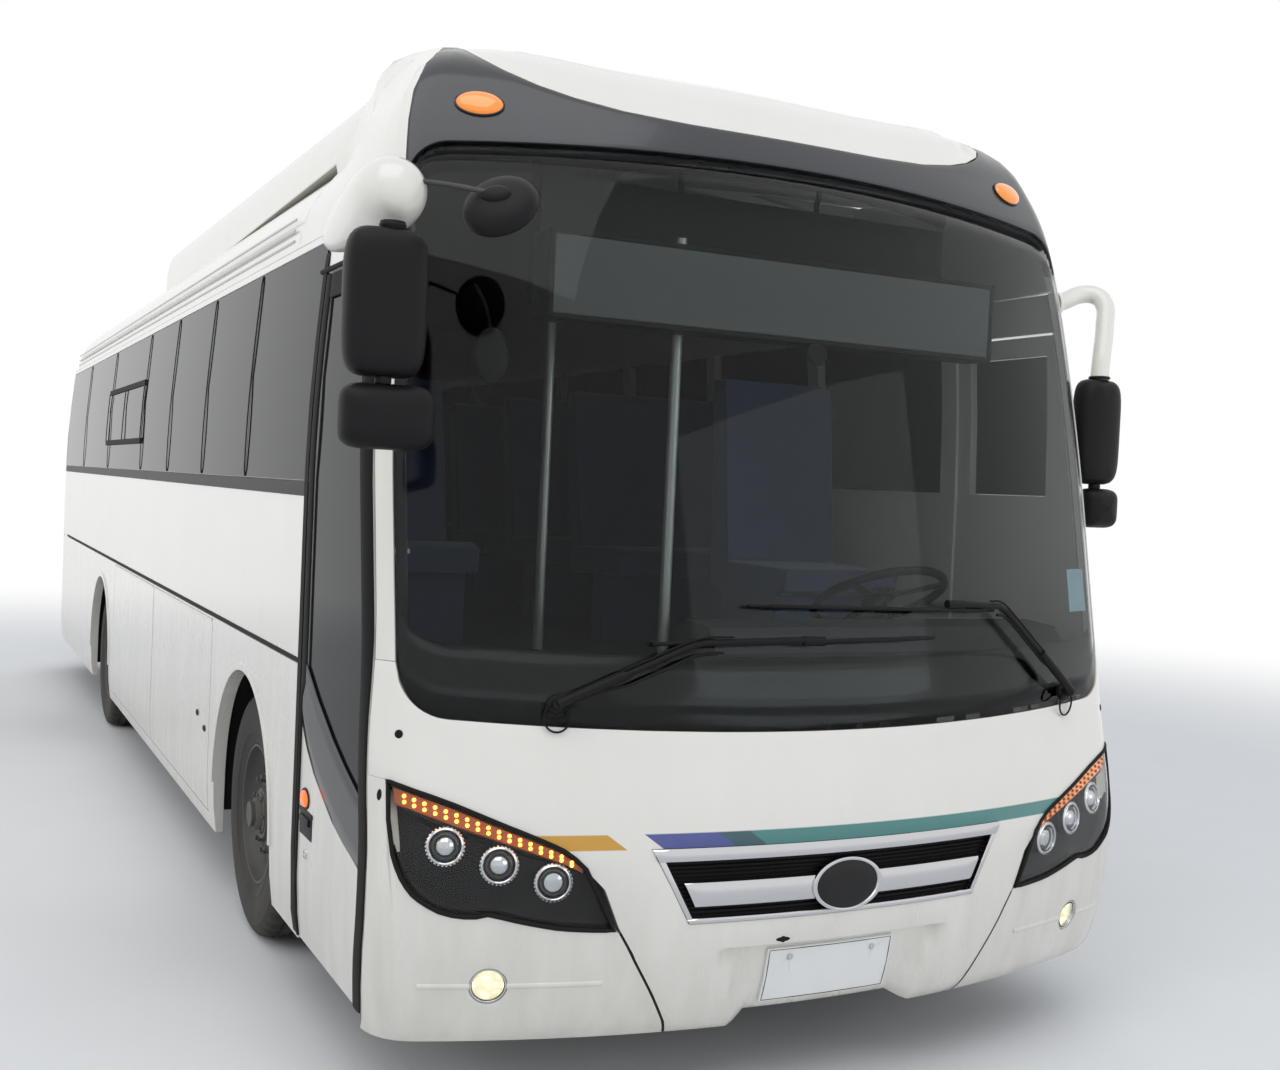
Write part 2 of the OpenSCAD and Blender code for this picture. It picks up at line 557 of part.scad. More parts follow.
// Raised lip round each wheel arch
lip_t = 7;
lip_w = 26;
module arch_lip() {
    for (y = [front_axle_y, rear_axle_y])
        translate([half_w - 14, y, wheel_r + 15]) rotate([0, 90, 0]) difference() {
            cylinder(r = arch_r + lip_w, h = 14 + lip_t, $fn = 96);
            translate([0, 0, -1]) cylinder(r = arch_r, h = 20 + lip_t, $fn = 96);
            translate([0, -arch_r * 2, -1]) cube([arch_r * 2, arch_r * 4, 30]);
        }
}
module side_wall_right() {
    color("ivory") place() mirror([1, 0, 0]) side_wall();
}
module side_wall_left() {
    color("ivory") place() side_wall();
}
function band_x(z) =
    z < band_mid_z ? lerp(side_x(waist_z), side_x(band_mid_z), (z - waist_z) / (band_mid_z - waist_z))
    : lerp(side_x(band_mid_z), side_x(band_top_z), (z - band_mid_z) / (band_top_z - band_mid_z));
module wall_panes() {
    zs = [waist_z + 3, band_mid_z, band_top_z - 3];
    last = len(WINDOW_JOINTS) - 2;
    difference() {
        for (k = [0:last])
            along_y(WINDOW_JOINTS[k] + pane_gap / 2,
                    k == last ? body_len - 100 : WINDOW_JOINTS[k + 1] - pane_gap / 2)
                polygon(concat([for (z = zs) [band_x(z) - 1, z]],
                               [for (z = [zs[2], zs[1], zs[0]]) [band_x(z) - band_inset + seat_gap, z]]));
        behind_wall(6);
    }
}
// Driver's side panel, from the pillar back to the side wall, and its pane
CAB_ROWS = [sill_z, 290, 350, 450, 640, 800, 900, 1000, skirt_z, 1185, 1300, waist_z + window_low, 1950,
            door_top_z - 70, door_top_z];
cab_pane_row = 11;
function cab_s(k, z) = [seal_edge(z) + panel_gap / 2, side_s(640, z), side_s(760, z), side_s(900, z),
                        side_s(1040, z), side_s(door_rear_y - seam_gap, z)][k];
module cab_pane() {
    front_panel([for (k = [1:4]) [for (r = [0:2]) let (z = CAB_ROWS[cab_pane_row + r])
                [cab_s(k, z) + (k == 1 ? seam_gap : k == 4 ? -seam_gap : 0),
                 z + (r == 0 ? seam_gap : r == 2 ? -seam_gap : 0), 2]]], glass_t);
}
module side_windows() {
    color([0.15, 0.18, 0.2, 0.6]) place() {
        both() wall_panes();
        cab_pane();
    }
}
module cab_side() {
    color("ivory") place()
        front_panel([for (k = [0:5]) [for (z = CAB_ROWS) [cab_s(k, z), z, 0]]], shell_t,
            function(i, j) !(i >= 1 && i <= 3 && j >= cab_pane_row && j <= cab_pane_row + 1));
}

// Rear: panel below, cap above, window, bumper and engine lid
rear_r = 6500;
rear_back = 8;
REAR = [[sill_z, 30, -0.7], [sill_z + 60, rear_back, 0.0], [1500, rear_back, 0.02], [2350, 96, 0.2],
        [2560, 150, 0.4]];
function rear_pt(s, z) =
    let (p = plan_half(abs(s), z, rear_r)) [-sign(s) * p[0], body_len - curve(REAR, z) - p[1], z];
function rear_in(s, z, t) =
    let (c = cross(rear_pt(s + 1, z) - rear_pt(s - 1, z), rear_pt(s, z + 1) - rear_pt(s, z - 1)))
    rear_pt(s, z) - t * c / norm(c);
// Shell of the rear: columns of [distance, height], outer set-back and thickness t
module rear_shell(cols, out, t, keep = function(i, j) true) {
    grid_shell([for (c = cols) [for (p = c) rear_in(p[0], p[1], out)]],
               [for (c = cols) [for (p = c) rear_in(p[0], p[1], out + t)]], keep);
}
lid_half = 880;
lid_low_z = 570;
lid_top_z = 1160;
bumper_top_z = 560;
glass_low_z = 1690;
glass_top_z = 2300;
REAR_ROWS = [bumper_top_z, lid_low_z, 760, 960, lid_top_z, 1300, 1560, glass_low_z, 1900, 2120,
             glass_top_z, eave_gap_z];
BUMPER_ROWS = [sill_z + 20, sill_z + 60, 380, 480, bumper_top_z - panel_gap];
function rear_col(k, z) =
    k <= 3 ? lid_half * k / 3 : k == 4 ? lid_half + 110
    : arc_end(z, rear_r) + (corner_end(z, rear_r) - arc_end(z, rear_r)) * (k - 5) / 3;
// Columns over both halves, up to column n, with the outermost ones drawn in by gap
function rear_grid(n, rows, gap = 0) =
    [for (i = [-n:n]) [for (z = rows) [sign(i) * (rear_col(abs(i), z) - (abs(i) == n ? gap : 0)), z]]];
module rear_panel() {
    color("ivory") place() rear_shell(rear_grid(8, REAR_ROWS), 0, shell_t,
        function(i, j) !(i >= 5 && i <= 10 && j >= 1 && j <= 3) && !(i >= 4 && i <= 11 && j >= 7 && j <= 9));
}
module rear_window() {
    rows = [glass_low_z + seam_gap, 1900, 2120, glass_top_z - seam_gap];
    color([0.15, 0.18, 0.2, 0.6]) place() rear_shell(rear_grid(4, rows, seam_gap), 1, glass_t);
}
// Engine lid with the barrel of its hinge in the gap above it
hinge_r = panel_gap / 2 - seat_gap;
module engine_lid() {
    rows = [lid_low_z + panel_gap, 760, 960, lid_top_z - panel_gap];
    y = body_len - rear_back;
    color("ivory") place() {
        rear_shell(rear_grid(3, rows, panel_gap), 0, 26);
        rod([-55, y, lid_top_z - panel_gap / 2], [55, y, lid_top_z - panel_gap / 2], hinge_r);
        box([-55, y - 6, lid_top_z - panel_gap - 4], [55, y - 0.5, lid_top_z - panel_gap / 2]);
    }
}
module rear_bumper() {
    color("ivory") place() rear_shell(rear_grid(8, BUMPER_ROWS), 0, shell_t + 10);
}
REAR_CAP_BACK = concat([for (f = [1, 0.8, 0.6, 0.4, 0.2]) roof_arc(f)],
                       [for (a = [shoulder_end, 60, 44, 28, 14]) shoulder_pt(a)],
                       [[side_x(eave_z), eave_z]]);
module rear_cap() {
    half = [for (k = [0:10]) let (s = corner_end(eave_z, rear_r) * k / 10, b = rear_pt(s, eave_z),
            c = REAR_CAP_BACK[k], e = [-c[0], rear_cap_y, c[1]], d = norm(e - b) / 3,
            t = k < 8 ? [0, -0.35, 0.94] : k == 8 ? [0.3, -0.6, 0.7] : [0, -1, 0.1 * (10 - k)],
            p1 = b + d * t, p2 = e + [0, d, 0])
            [for (v = [0:0.2:1]) let (u = 1 - v)
             u * u * u * b + 3 * u * u * v * p1 + 3 * u * v * v * p2 + v * v * v * e]];
    grid = both_halves(half);
    color("ivory") place() grid_shell(grid, inner_grid(grid, shell_t, eave_z, rear_cap_y, body_len));
}
module tail_lamps() {
    color("firebrick") place() both()
        rear_shell([for (s = [1000, 1040, 1080]) [for (z = [1230, 1300, 1370, 1440]) [s, z]]],
                   -rear_back, rear_back - seat_gap);
}

// Under the floor: frame rails, cross members, floor deck and luggage bay
rail_x = 400;
rail_w = 76;
rail_z0 = 520;
rail_z1 = 760;
front_end_y = 300;
rear_end_y = body_len - 170;
module chassis_frame() {
    color("dimgray") place() {
        both() difference() {
            box([rail_x - rail_w / 2, front_end_y, rail_z0], [rail_x + rail_w / 2, rear_end_y, rail_z1]);
            box([rail_x - rail_w, front_end_y - 1, rail_z0 + 10], [rail_x + rail_w / 2 - 10, rear_end_y + 1,
                                                                   rail_z1 - 10]);
        }
        for (y = [front_end_y, 1180, 2560, 3500, 4500, 5750, 7150, rear_end_y - 60])
            box([-rail_x - rail_w / 2 + 5, y, rail_z0 + 30], [rail_x + rail_w / 2 - 5, y + 60, rail_z1 - 30]);
        for (y = [2560, 3500, 4500, 5750])
            both() box([rail_x + rail_w / 2, y, rail_z1 - 60], [half_w - wall_t - 6, y + 60, rail_z1]);
    }
}
BEARERS = [1190, 2560, 3500, 4500, 5750, 7150, 7850, 9150];
floor_x = half_w - wall_t - seat_gap;
stair_x = -330;
stair_end_y = door_rear_y + 40;
module floor() {
    color("gray") place() {
        translate([0, 0, floor_z - 40]) linear_extrude(40)
            polygon([[stair_x, 330], [1040, 330], [floor_x, 490], [floor_x, wall_end(floor_z) - 20],
                     [1040, body_len - 170], [-1040, body_len - 170], [-floor_x, wall_end(floor_z) - 20],
                     [-floor_x, stair_end_y], [stair_x, stair_end_y]]);
        for (y = BEARERS)
            box([-floor_x, y, rail_z1], [floor_x, y + 60, floor_z - 40]);
    }
}
bay_z0 = 330;
bay_top_z = rail_z1 - 60;
bay_wall_x = rail_x + rail_w / 2 + 20;
module luggage_bay() {
    color("dimgray") place() {
        box([-half_w + 60, 2570, bay_z0], [half_w - 60, 5830, bay_z0 + 6]);
        both() {
            box([bay_wall_x, 2570, bay_z0 + 6], [bay_wall_x + 6, 5830, bay_top_z]);
            for (y = [2570, 5824])
                box([bay_wall_x + 6, y, bay_z0 + 6], [half_w - 60, y + 6, bay_top_z]);
        }
    }
}
// Arch liners: inner wall and curved roof over each wheel pair
liner_t = 5;
module liner(y, depth) {
    r = arch_r + 38;
    z = wheel_r + 15;
    x0 = half_w - wall_t - depth;
    difference() {
        union() {
            translate([x0, y, z]) rotate([0, 90, 0]) cylinder(r = r, h = depth - seat_gap, $fn = 64);
            box([x0, y - r, bay_z0], [half_w - wall_t - seat_gap, y + r, z]);
        }
        translate([x0 + liner_t, y, z]) rotate([0, 90, 0])
            cylinder(r = r - liner_t, h = depth + 10, $fn = 64);
        box([x0 + liner_t, y - r + liner_t, bay_z0 - 9], [half_w, y + r - liner_t, z]);
        box([x0 - 5, y - 100, bay_z0 - 9], [x0 + 10, y + 100, z + 130]);
        box([x0 - 9, y - r - 10, floor_z - 40 - seat_gap], [half_w, y + r + 10, floor_z + 200]);
        box([x0 - 9, y - r - 10, -arch_r], [half_w, y + r + 10, bay_z0]);
    }
}
front_liner_d = 620;
rear_liner_d = 700;
module arch_liners() {
    color("black") place() both() {
        liner(front_axle_y, front_liner_d);
        liner(rear_axle_y, rear_liner_d);
    }
}
// Entrance steps between the door and the aisle: columns are outer edge and height
STEPS = [[-half_w + wall_t + 22, 380], [-900, 590], [-620, 800]];
step_end_x = stair_x - seam_gap;
module entrance_steps() {
    color("dimgray") place() difference() {
        box([STEPS[0][0], 440, 330], [step_end_x, door_rear_y - 30, floor_z - 42]);
        for (k = [0:2]) {
            x1 = k < 2 ? STEPS[k + 1][0] : step_end_x - 8;
            box([STEPS[k][0] - 10, 445, STEPS[k][1]], [x1, door_rear_y - 35, floor_z + 10]);
            box([STEPS[k][0] + 6, 439, 329], [x1 + 2, door_rear_y - 29, STEPS[k][1] - 8]);
        }
    }
}

// Engine block at the rear, between the rails
module engine_block() {
    color("slategray") place()
        box([-rail_x + rail_w / 2 + 1, 8050, 430], [rail_x - rail_w / 2 - 1, 9150, 930]);
}

// Front axle: dropped beam with an eye for each kingpin, and its springs
track_front = half_w - wheel_inset - tyre_w / 2;
kingpin_x = track_front - kingpin_offset;
eye_r = 52;
eye_h = 150;
pin_gap = 0.08;
module front_axle() {
    color("dimgray") place() difference() {
        union() {
            box([-kingpin_x + 120, front_axle_y - 45, wheel_r - 130],
                [kingpin_x - 120, front_axle_y + 45, wheel_r - 40]);
            both() {
                along_y(front_axle_y - 45, front_axle_y + 45)
                    polygon([[kingpin_x - 200, wheel_r - 130], [kingpin_x - 90, wheel_r - eye_h / 2],
                             [kingpin_x - 30, wheel_r - eye_h / 2],
                             [kingpin_x - 30, wheel_r + eye_h / 2], [kingpin_x - 120, wheel_r - 40],
                             [kingpin_x - 200, wheel_r - 40]]);
                translate([kingpin_x, front_axle_y, wheel_r - eye_h / 2]) cylinder(r = eye_r, h = eye_h);
                translate([rail_x, front_axle_y, wheel_r - 60]) cylinder(r = 75, h = rail_z0 - wheel_r + 60);
            }
        }
        both() translate([kingpin_x, front_axle_y, wheel_r - eye_h / 2 - 1])
            cylinder(r = kingpin_r + pin_gap, h = eye_h + 2);
    }
}
module knuckle() {
    translate([kingpin_x, front_axle_y, wheel_r]) {
        translate([0, 0, -eye_h / 2 - 20]) cylinder(r = kingpin_r, h = eye_h + 40);
        for (s = [-1, 1]) translate([0, 0, s * (eye_h / 2 + 13 + seat_gap) - 13]) {
            cylinder(r = 48, h = 26);
            translate([0, -40, 0]) cube([eye_r + 10, 80, 26]);
        }
        translate([eye_r + 8, -40, -eye_h / 2 - 26 - seat_gap]) cube([20, 80, eye_h + 52 + 2 * seat_gap]);
        translate([eye_r + 20, 0, 0]) rotate([0, 90, 0]) cylinder(r = spindle_r, h = 200);
        translate([-30, -190, -eye_h / 2 - 26 - seat_gap]) cube([60, 160, 26]);
    }
}
module knuckle_left() {
    color("gray") place() knuckle();
}
module knuckle_right() {
    color("gray") place() mirror([1, 0, 0]) knuckle();
}

// Rear axle: housing with its drive head, spindles and springs
rear_spindle_r = spindle_r + 14;
track_out = half_w - wheel_inset - tyre_w / 2;
track_in = track_out - twin_pitch;
module rear_axle() {
    color("dimgray") place() translate([0, rear_axle_y, wheel_r]) {
        rotate([0, 90, 0]) translate([0, 0, -track_in + 160]) cylinder(r = 80, h = 2 * track_in - 320);
        translate([0, 90, 0]) rotate([90, 0, 0]) {
            cylinder(r = 165, h = 180);
            cylinder(r = 70, h = 300);
        }
        both() {
            rotate([0, 90, 0]) translate([0, 0, track_in - 170])
                cylinder(r = rear_spindle_r, h = 200 + twin_pitch);
            translate([rail_x, 0, 0]) cylinder(r = 70, h = rail_z0 - wheel_r);
        }
    }
}

// Tyre, turned about the wheel's axis
bead = tyre_w / 2 - 22;
rim_r = rim_d / 2;
TYRE_HALF = [[rim_r, bead], [rim_r + 14, bead + 8], [rim_r + 55, tyre_w / 2 - 3],
             [(rim_r + wheel_r) / 2, tyre_w / 2], [wheel_r - 45, tyre_w / 2 - 4],
             [wheel_r - 20, tyre_w / 2 - 13], [wheel_r - 6, tyre_w / 2 - 28], [wheel_r, tyre_w / 2 - 45]];
module tyre() {
    rotate([0, 90, 0]) rotate_extrude($fn = 96) polygon(concat(
        TYRE_HALF, [for (k = [len(TYRE_HALF) - 1:-1:0]) [TYRE_HALF[k][0], -TYRE_HALF[k][1]]]));
}
// Dished rim with hand holes: disc is the place of its disc from the middle
module rim(bore, disc, hub_in, hub_out) {
    rr = rim_r - seat_gap;
    rotate([0, 90, 0]) difference() {
        rotate_extrude($fn = 96) polygon([
            [bore, hub_in], [bore + 44, hub_in], [bore + 56, disc - 14], [rr - 70, disc - 22],
            [rr - 34, disc - 34], [rr - 16, -bead + 20], [rr - 8, -bead - 6], [rr, -bead - 6],
            [rr, bead + 6], [rr - 8, bead + 6], [rr - 16, bead - 24], [rr - 34, disc - 8],
            [rr - 66, disc - 4], [bore + 56, disc + 4], [bore + 44, hub_out], [bore, hub_out]]);
        for (a = [0:45:315]) rotate([0, 0, a]) translate([rr - 62, 0, disc - 60]) cylinder(r = 20, h = 100);
    }
}
front_disc = 62;
hub_face = 96;
rear_disc = 104;
module front_tyre_place() {
    translate([track_front, front_axle_y, wheel_r]) children();
}
module front_rim() {
    front_tyre_place() rim(spindle_r + spindle_gap, front_disc, -40, hub_face);
}
module rear_tyres() {
    for (x = [track_out, track_in]) translate([x, rear_axle_y, wheel_r]) tyre();
}
module rear_rims() {
    translate([track_out, rear_axle_y, wheel_r]) mirror([1, 0, 0])
        rim(rear_spindle_r + spindle_gap, rear_disc, 40, twin_pitch / 2);
    translate([track_in, rear_axle_y, wheel_r])
        rim(rear_spindle_r + spindle_gap, rear_disc, 40, twin_pitch / 2);
}
module tyre_front_left() {
    color("black") place() front_tyre_place() tyre();
}
module rim_front_left() {
    color("silver") place() front_rim();
}
module tyre_front_right() {
    color("black") place() mirror([1, 0, 0]) front_tyre_place() tyre();
}
module rim_front_right() {
    color("silver") place() mirror([1, 0, 0]) front_rim();
}
module tyres_rear_left() {
    color("black") place() rear_tyres();
}
module rims_rear_left() {
    color("silver") place() rear_rims();
}
module tyres_rear_right() {
    color("black") place() mirror([1, 0, 0]) rear_tyres();
}
module rims_rear_right() {
    color("silver") place() mirror([1, 0, 0]) rear_rims();
}

// Entrance door: leaf with its tall pane, hung on two arms that swing about a post
door_low_z = sill_z + 15;
door_stile = 70;
door_rail_z = door_top_z - door_stile;
// Columns: place along the side, for the curve of the lower glass edge
DOOR_Y = [370, 420, 640, 760, 900, door_rear_y - 55, door_rear_y - panel_gap];
function door_glass_low(y) = 640 + 350 * pow(clamp((y - 370) / (door_rear_y - 420), 0, 1), 1.4);
function door_z(k, j) = let (low = door_glass_low(DOOR_Y[k]))
    [door_low_z, 340, 450, low - 60, low, (low + 1040) / 2, 1040, 1170, 1300, 1650, 1950,
     door_rail_z, door_top_z][j];
glass_row = 4;
function door_s(k, z) = let (front_s = seal_edge(z) + door_stile, back_s = side_s(DOOR_Y[5], z))
    k == 0 ? seal_edge(z) + panel_gap / 2
    : k == 6 ? side_s(DOOR_Y[6], z) : lerp(front_s, back_s, [0, 0.3, 0.5, 0.75, 1][k - 1]);
module door_panel() {
    color("black") place() mirror([1, 0, 0]) {
        front_panel([for (k = [0:6]) [for (j = [0:12]) let (z = door_z(k, j)) [door_s(k, z), z, 0]]], door_t,
                    function(i, j) !(i >= 1 && i <= 4 && j >= glass_row && j <= 10));
        for (z = arm_z) difference() {
            box([post_x - 20, post_y - door_arm_len - 15, z + arm_t + seat_gap],
                [half_w - door_t + 3, post_y - door_arm_len + 22, z + arm_t + seat_gap + 12]);
            translate([post_x, post_y - door_arm_len, z]) cylinder(r = 12 + pin_gap, h = 90);
        }
    }
}
module door_glass() {
    color([0.2, 0.25, 0.28, 0.5]) place()
        front_panel([for (k = [5:-1:1]) [for (j = [glass_row:11]) let (z = door_z(k, j))
                    [-door_s(k, z) + (k == 1 ? -seam_gap : k == 5 ? seam_gap : 0),
                     z + (j == glass_row ? seam_gap : j == 11 ? -seam_gap : 0), 4]]], glass_t);
}
post_x = half_w - wall_t - 50;
post_y = door_rear_y - 72;
arm_z = [540, 1440];
arm_t = 24;
post_r = 16;
module door_arm() {
    color("gray") place() mirror([1, 0, 0]) {
        translate([post_x, post_y, STEPS[0][1] + seat_gap])
            cylinder(r = post_r, h = arm_z[1] + 200 - STEPS[0][1]);
        for (z = arm_z) {
            box([post_x - 11, post_y - door_arm_len, z], [post_x + 11, post_y, z + arm_t]);
            translate([post_x, post_y - door_arm_len, z]) cylinder(r = 12, h = arm_t + 20);
        }
    }
}

// Luggage flaps, each with the barrel of its hinge along the outer upper edge
module flap(f) {
    zs = [flap_low_z, 380, wall_foot_z, flap_high_z];
    along_y(f[0], f[1]) polygon(concat([for (z = zs) [side_x(z), z]],
                                       [for (k = [3:-1:0]) [side_x(zs[k]) - flap_t, zs[k]]]));
    axis_z = flap_high_z + panel_gap / 2;
    rod([half_w, f[0], axis_z], [half_w, f[1], axis_z], hinge_r);
    box([half_w - 3, f[0], flap_high_z - 2], [half_w, f[1], axis_z]);
}
module flap_left_front() {
    color("ivory") place() flap(FLAPS[0]);
}
module flap_left_rear() {
    color("ivory") place() flap(FLAPS[1]);
}
module flap_right_front() {
    color("ivory") place() mirror([1, 0, 0]) flap(FLAPS[0]);
}
module flap_right_rear() {
    color("ivory") place() mirror([1, 0, 0]) flap(FLAPS[1]);
}

// Driver's place
module dashboard() {
    color([0.15, 0.15, 0.16]) place() along_x(-240, half_w - 160)
        polygon([[360, floor_z], [360, 1200], [420, 1270], [560, 1280], [dash_back_y, 1220],
                 [dash_back_y, 1130],
                 [560, 1100], [520, floor_z]]);
}
wheel_x = 640;
dash_back_y = 700;
module steering_wheel() {
    color("black") place() difference() {
        translate([wheel_x, 800, 1330]) rotate([-28, 0, 0]) {
            rotate_extrude($fn = 64) translate([225, 0]) circle(r = 15, $fn = 24);
            translate([0, 0, -8]) cylinder(r = 60, h = 22);
            for (a = [90, 210, 330]) rotate([0, 0, a]) translate([50, -14, -5]) cube([168, 28, 10]);
            translate([0, 0, -280]) cylinder(r = 24, h = 276);
        }
        box([wheel_x - 60, 300, 900], [wheel_x + 60, dash_back_y + seat_gap, 1320]);
    }
}
module driver_seat() {
    color([0.2, 0.22, 0.28]) place() along_x(wheel_x - 240, wheel_x + 240)
        polygon([[1080, floor_z], [1080, floor_z + 300], [1020, floor_z + 320], [1010, floor_z + 400],
                 [1420, floor_z + 400], [1500, floor_z + 1080], [1590, floor_z + 1080],
                 [1540, floor_z + 300], [1460, floor_z + 280], [1440, floor_z]]);
}
first_row_y = 2150;
module seat_pair(y) {
    along_x(0, seat_pair_w)
        polygon([[y + 150, floor_z], [y + 150, floor_z + 280], [y, floor_z + 290], [y - 10, floor_z + 390],
                 [y + 60, floor_z + 410], [y + 400, floor_z + 390], [y + 520, floor_z + 1020],
                 [y + 560, floor_z + 1080], [y + 620, floor_z + 1070], [y + 600, floor_z + 900],
                 [y + 500, floor_z + 270], [y + 260, floor_z + 280], [y + 260, floor_z]]);
}
seat_wall_gap = 12;
module seats_left() {
    color([0.25, 0.3, 0.4]) place() for (k = [0:seat_rows - 1])
        translate([half_w - wall_t - seat_pair_w - seat_wall_gap, 0, 0])
            seat_pair(first_row_y + k * seat_pitch);
}
module seats_right() {
    mirror([1, 0, 0]) seats_left();
}
module sign_box() {
    hang = CAP_IN[2][2];
    color("black") place() {
        box([-720, hang[1] - 45, 2190], [720, hang[1] + 35, 2560]);
        both() translate([hang[0], hang[1], 2555]) rotate_extrude($fn = 24)
            polygon([[0, 0], [9, 0], [9, hang[2] - 2565], [1, hang[2] - 2555 - seat_gap],
                     [0, hang[2] - 2555 - seat_gap]]);
    }
}
module grab_rails() {
    color("gainsboro") place() {
        translate([-430, 1230, floor_z]) cylinder(r = 17, h = 1700, $fn = 32);
        translate([-290, 600, floor_z]) cylinder(r = 17, h = 1400, $fn = 32);
    }
}

// Small outside pieces. The plate is held by two screws through it and the mask behind it
plate_fix_x = 137.5;
plate_fix_z = plate_top_z - 41;
plate_fix_r = 3.3;
module plate_holes() {
    for (x = [-plate_fix_x, plate_fix_x])
        translate([x, 0, plate_fix_z]) rotate([-90, 0, 0]) cylinder(r = plate_fix_r, h = 160, $fn = 24);
}
module number_plate() {
    out = recess_depth - seat_gap - 8;
    color("white") place() difference() {
        front_panel([for (s = [-210, -130, 0, 130, 210])
            [for (z = [plate_top_z - 178, plate_top_z - 100, plate_top_z - 12]) [s, z, out]]], 8);
        plate_holes();
    }
}
// Wipers: distance and height of the pivot, then of the middle of the blade
WIPERS = [[-560, 1075, -40, 1150], [1010, 1110, 330, 1170]];
blade_len = 660;
module wipers() {
    color("black") place() for (w = WIPERS) {
        hub = inset_pt(w[0], w[1], -38);
        reach = inset_pt(w[2], w[3], -34);
        on_front(w[0], w[1], seat_gap) cylinder(r = 20, h = 44);
        rod(hub, reach, 8);
        front_panel([for (f = [-0.5:0.125:0.5])
                     [for (z = [-9, 9]) [w[2] + f * blade_len, w[3] + z, -34]]], 22);
    }
}
module marker_lamps() {
    color("orange") place() both() on_front(950, 2705, seat_gap) scale([1, 0.62, 1])
        rotate_extrude($fn = 32) polygon([[0, 0], [66, 0], [58, 12], [34, 19], [0, 21]]);
}
// Mirror housing, round at its edges: rings of distance from the front and inset
HOUSING_RINGS = [[0, 46], [4, 30], [14, 12], [32, 2], [56, 0], [84, 3], [92, 9], [92, 16], [88, 17]];
housing_step = 10;
// Rounded outline: a circle's point drawn out towards the corners
function squircle(a, half_x, half_z) =
    let (k = pow(pow(abs(cos(a)), 6) + pow(abs(sin(a)), 6), 1 / 6))
    [half_x * cos(a) / k, half_z * sin(a) / k];
module housing(width, height) {
    n = 360 / housing_step;
    last = len(HOUSING_RINGS) - 1;
    points = [for (q = HOUSING_RINGS) for (k = [0:n - 1])
              let (p = squircle(k * housing_step, width / 2 - q[1], height / 2 - q[1])) [p[0], q[0], p[1]]];
    sides = [for (j = [0:last - 1]) for (k = [0:n - 1])
             let (a = j * n + k, b = j * n + (k + 1) % n) each [[a, b, a + n], [b, b + n, a + n]]];
    polyhedron(points, concat(sides, [[for (k = [n - 1:-1:0]) k]],
                              [[for (k = [0:n - 1]) last * n + k]]), convexity = 3);
}
// Both sides reach equally far out
mirror_reach = 1415;
// Main and lower housing: front, height of the middle, width and height
MIRRORS_RIGHT = [[100, 2077, 203, 356], [104, 1807, 234, 158]];
MIRRORS_LEFT = [[480, 1930, 172, 362], [472, 1668, 140, 136]];
function mirror_x(m) = mirror_reach - m[2] / 2;
neck_r = 13;
module housings(M) {
    for (m = M) translate([mirror_x(m), m[0], m[1]]) housing(m[2], m[3]);
    neck = [mirror_x(M[0]), M[0][0] + 50, M[0][1] - M[0][3] / 2 + 20];
    rod(neck, [neck[0], neck[1], M[1][1] + M[1][3] / 2 - 20], neck_r);
}
// Face against which an arm is fixed, on the header beside the door or cab window
mirror_root_z = 2335;
mirror_seat_x = side_x(mirror_root_z - 75) + seat_gap;
// Teardrop over the right arm: distance along it and radius
TEARDROP = [[0, 0], [10, 22], [80, 42], [220, 62], [400, 80], [560, 90], [640, 86], [690, 64], [714, 34],
            [722, 0]];
teardrop_back = [1268, 870, 2318];
teardrop_axis = [17, -720, 44];
module teardrop() {
    difference() {
        translate(teardrop_back) along(teardrop_axis)
            rotate_extrude($fn = 64) polygon([for (p = TEARDROP) [p[1], p[0]]]);
        box([900, 520, 2100], [mirror_seat_x, 1100, 2600]);
    }
}
// Round mirror over the windscreen, its domed back turned up and outwards
dish_place = [1050, 100, 2322];
dish_axis = [0.56, -0.61, 0.56];
dish_rod_end = dish_place + 52 * dish_axis;
module mirror_left() {
    top = MIRRORS_LEFT[0];
    arm = [[mirror_seat_x + 14, 655, mirror_root_z + 35], [1330, 640, 2425], [1378, 590, 2400],
           [mirror_x(top), top[0] + 55, top[1] + top[3] / 2 - 20]];
    color("black") place() {
        housings(MIRRORS_LEFT);
        translate([mirror_seat_x, 655, mirror_root_z + 35]) rotate([0, 90, 0]) cylinder(r = 44, h = 16);
        for (k = [0:2]) {
            rod(arm[k], arm[k + 1], 33);
            if (k < 2) translate(arm[k + 1]) sphere(r = 34, $fn = 32);
        }
    }
}
module mirror_right() {
    color("black") place() mirror([1, 0, 0]) {
        housings(MIRRORS_RIGHT);
        teardrop();
        rod([1300, 165, 2345], [1300, 165, 2235], 24);
        rod([1262, 210, 2385], dish_rod_end, 8);
        translate(dish_place) along(dish_axis) rotate_extrude($fn = 64)
            polygon([[0, 0], [91, 0], [96, 6], [90, 24], [72, 40], [46, 50], [30, 54], [27, 64], [0, 66]]);
    }
}

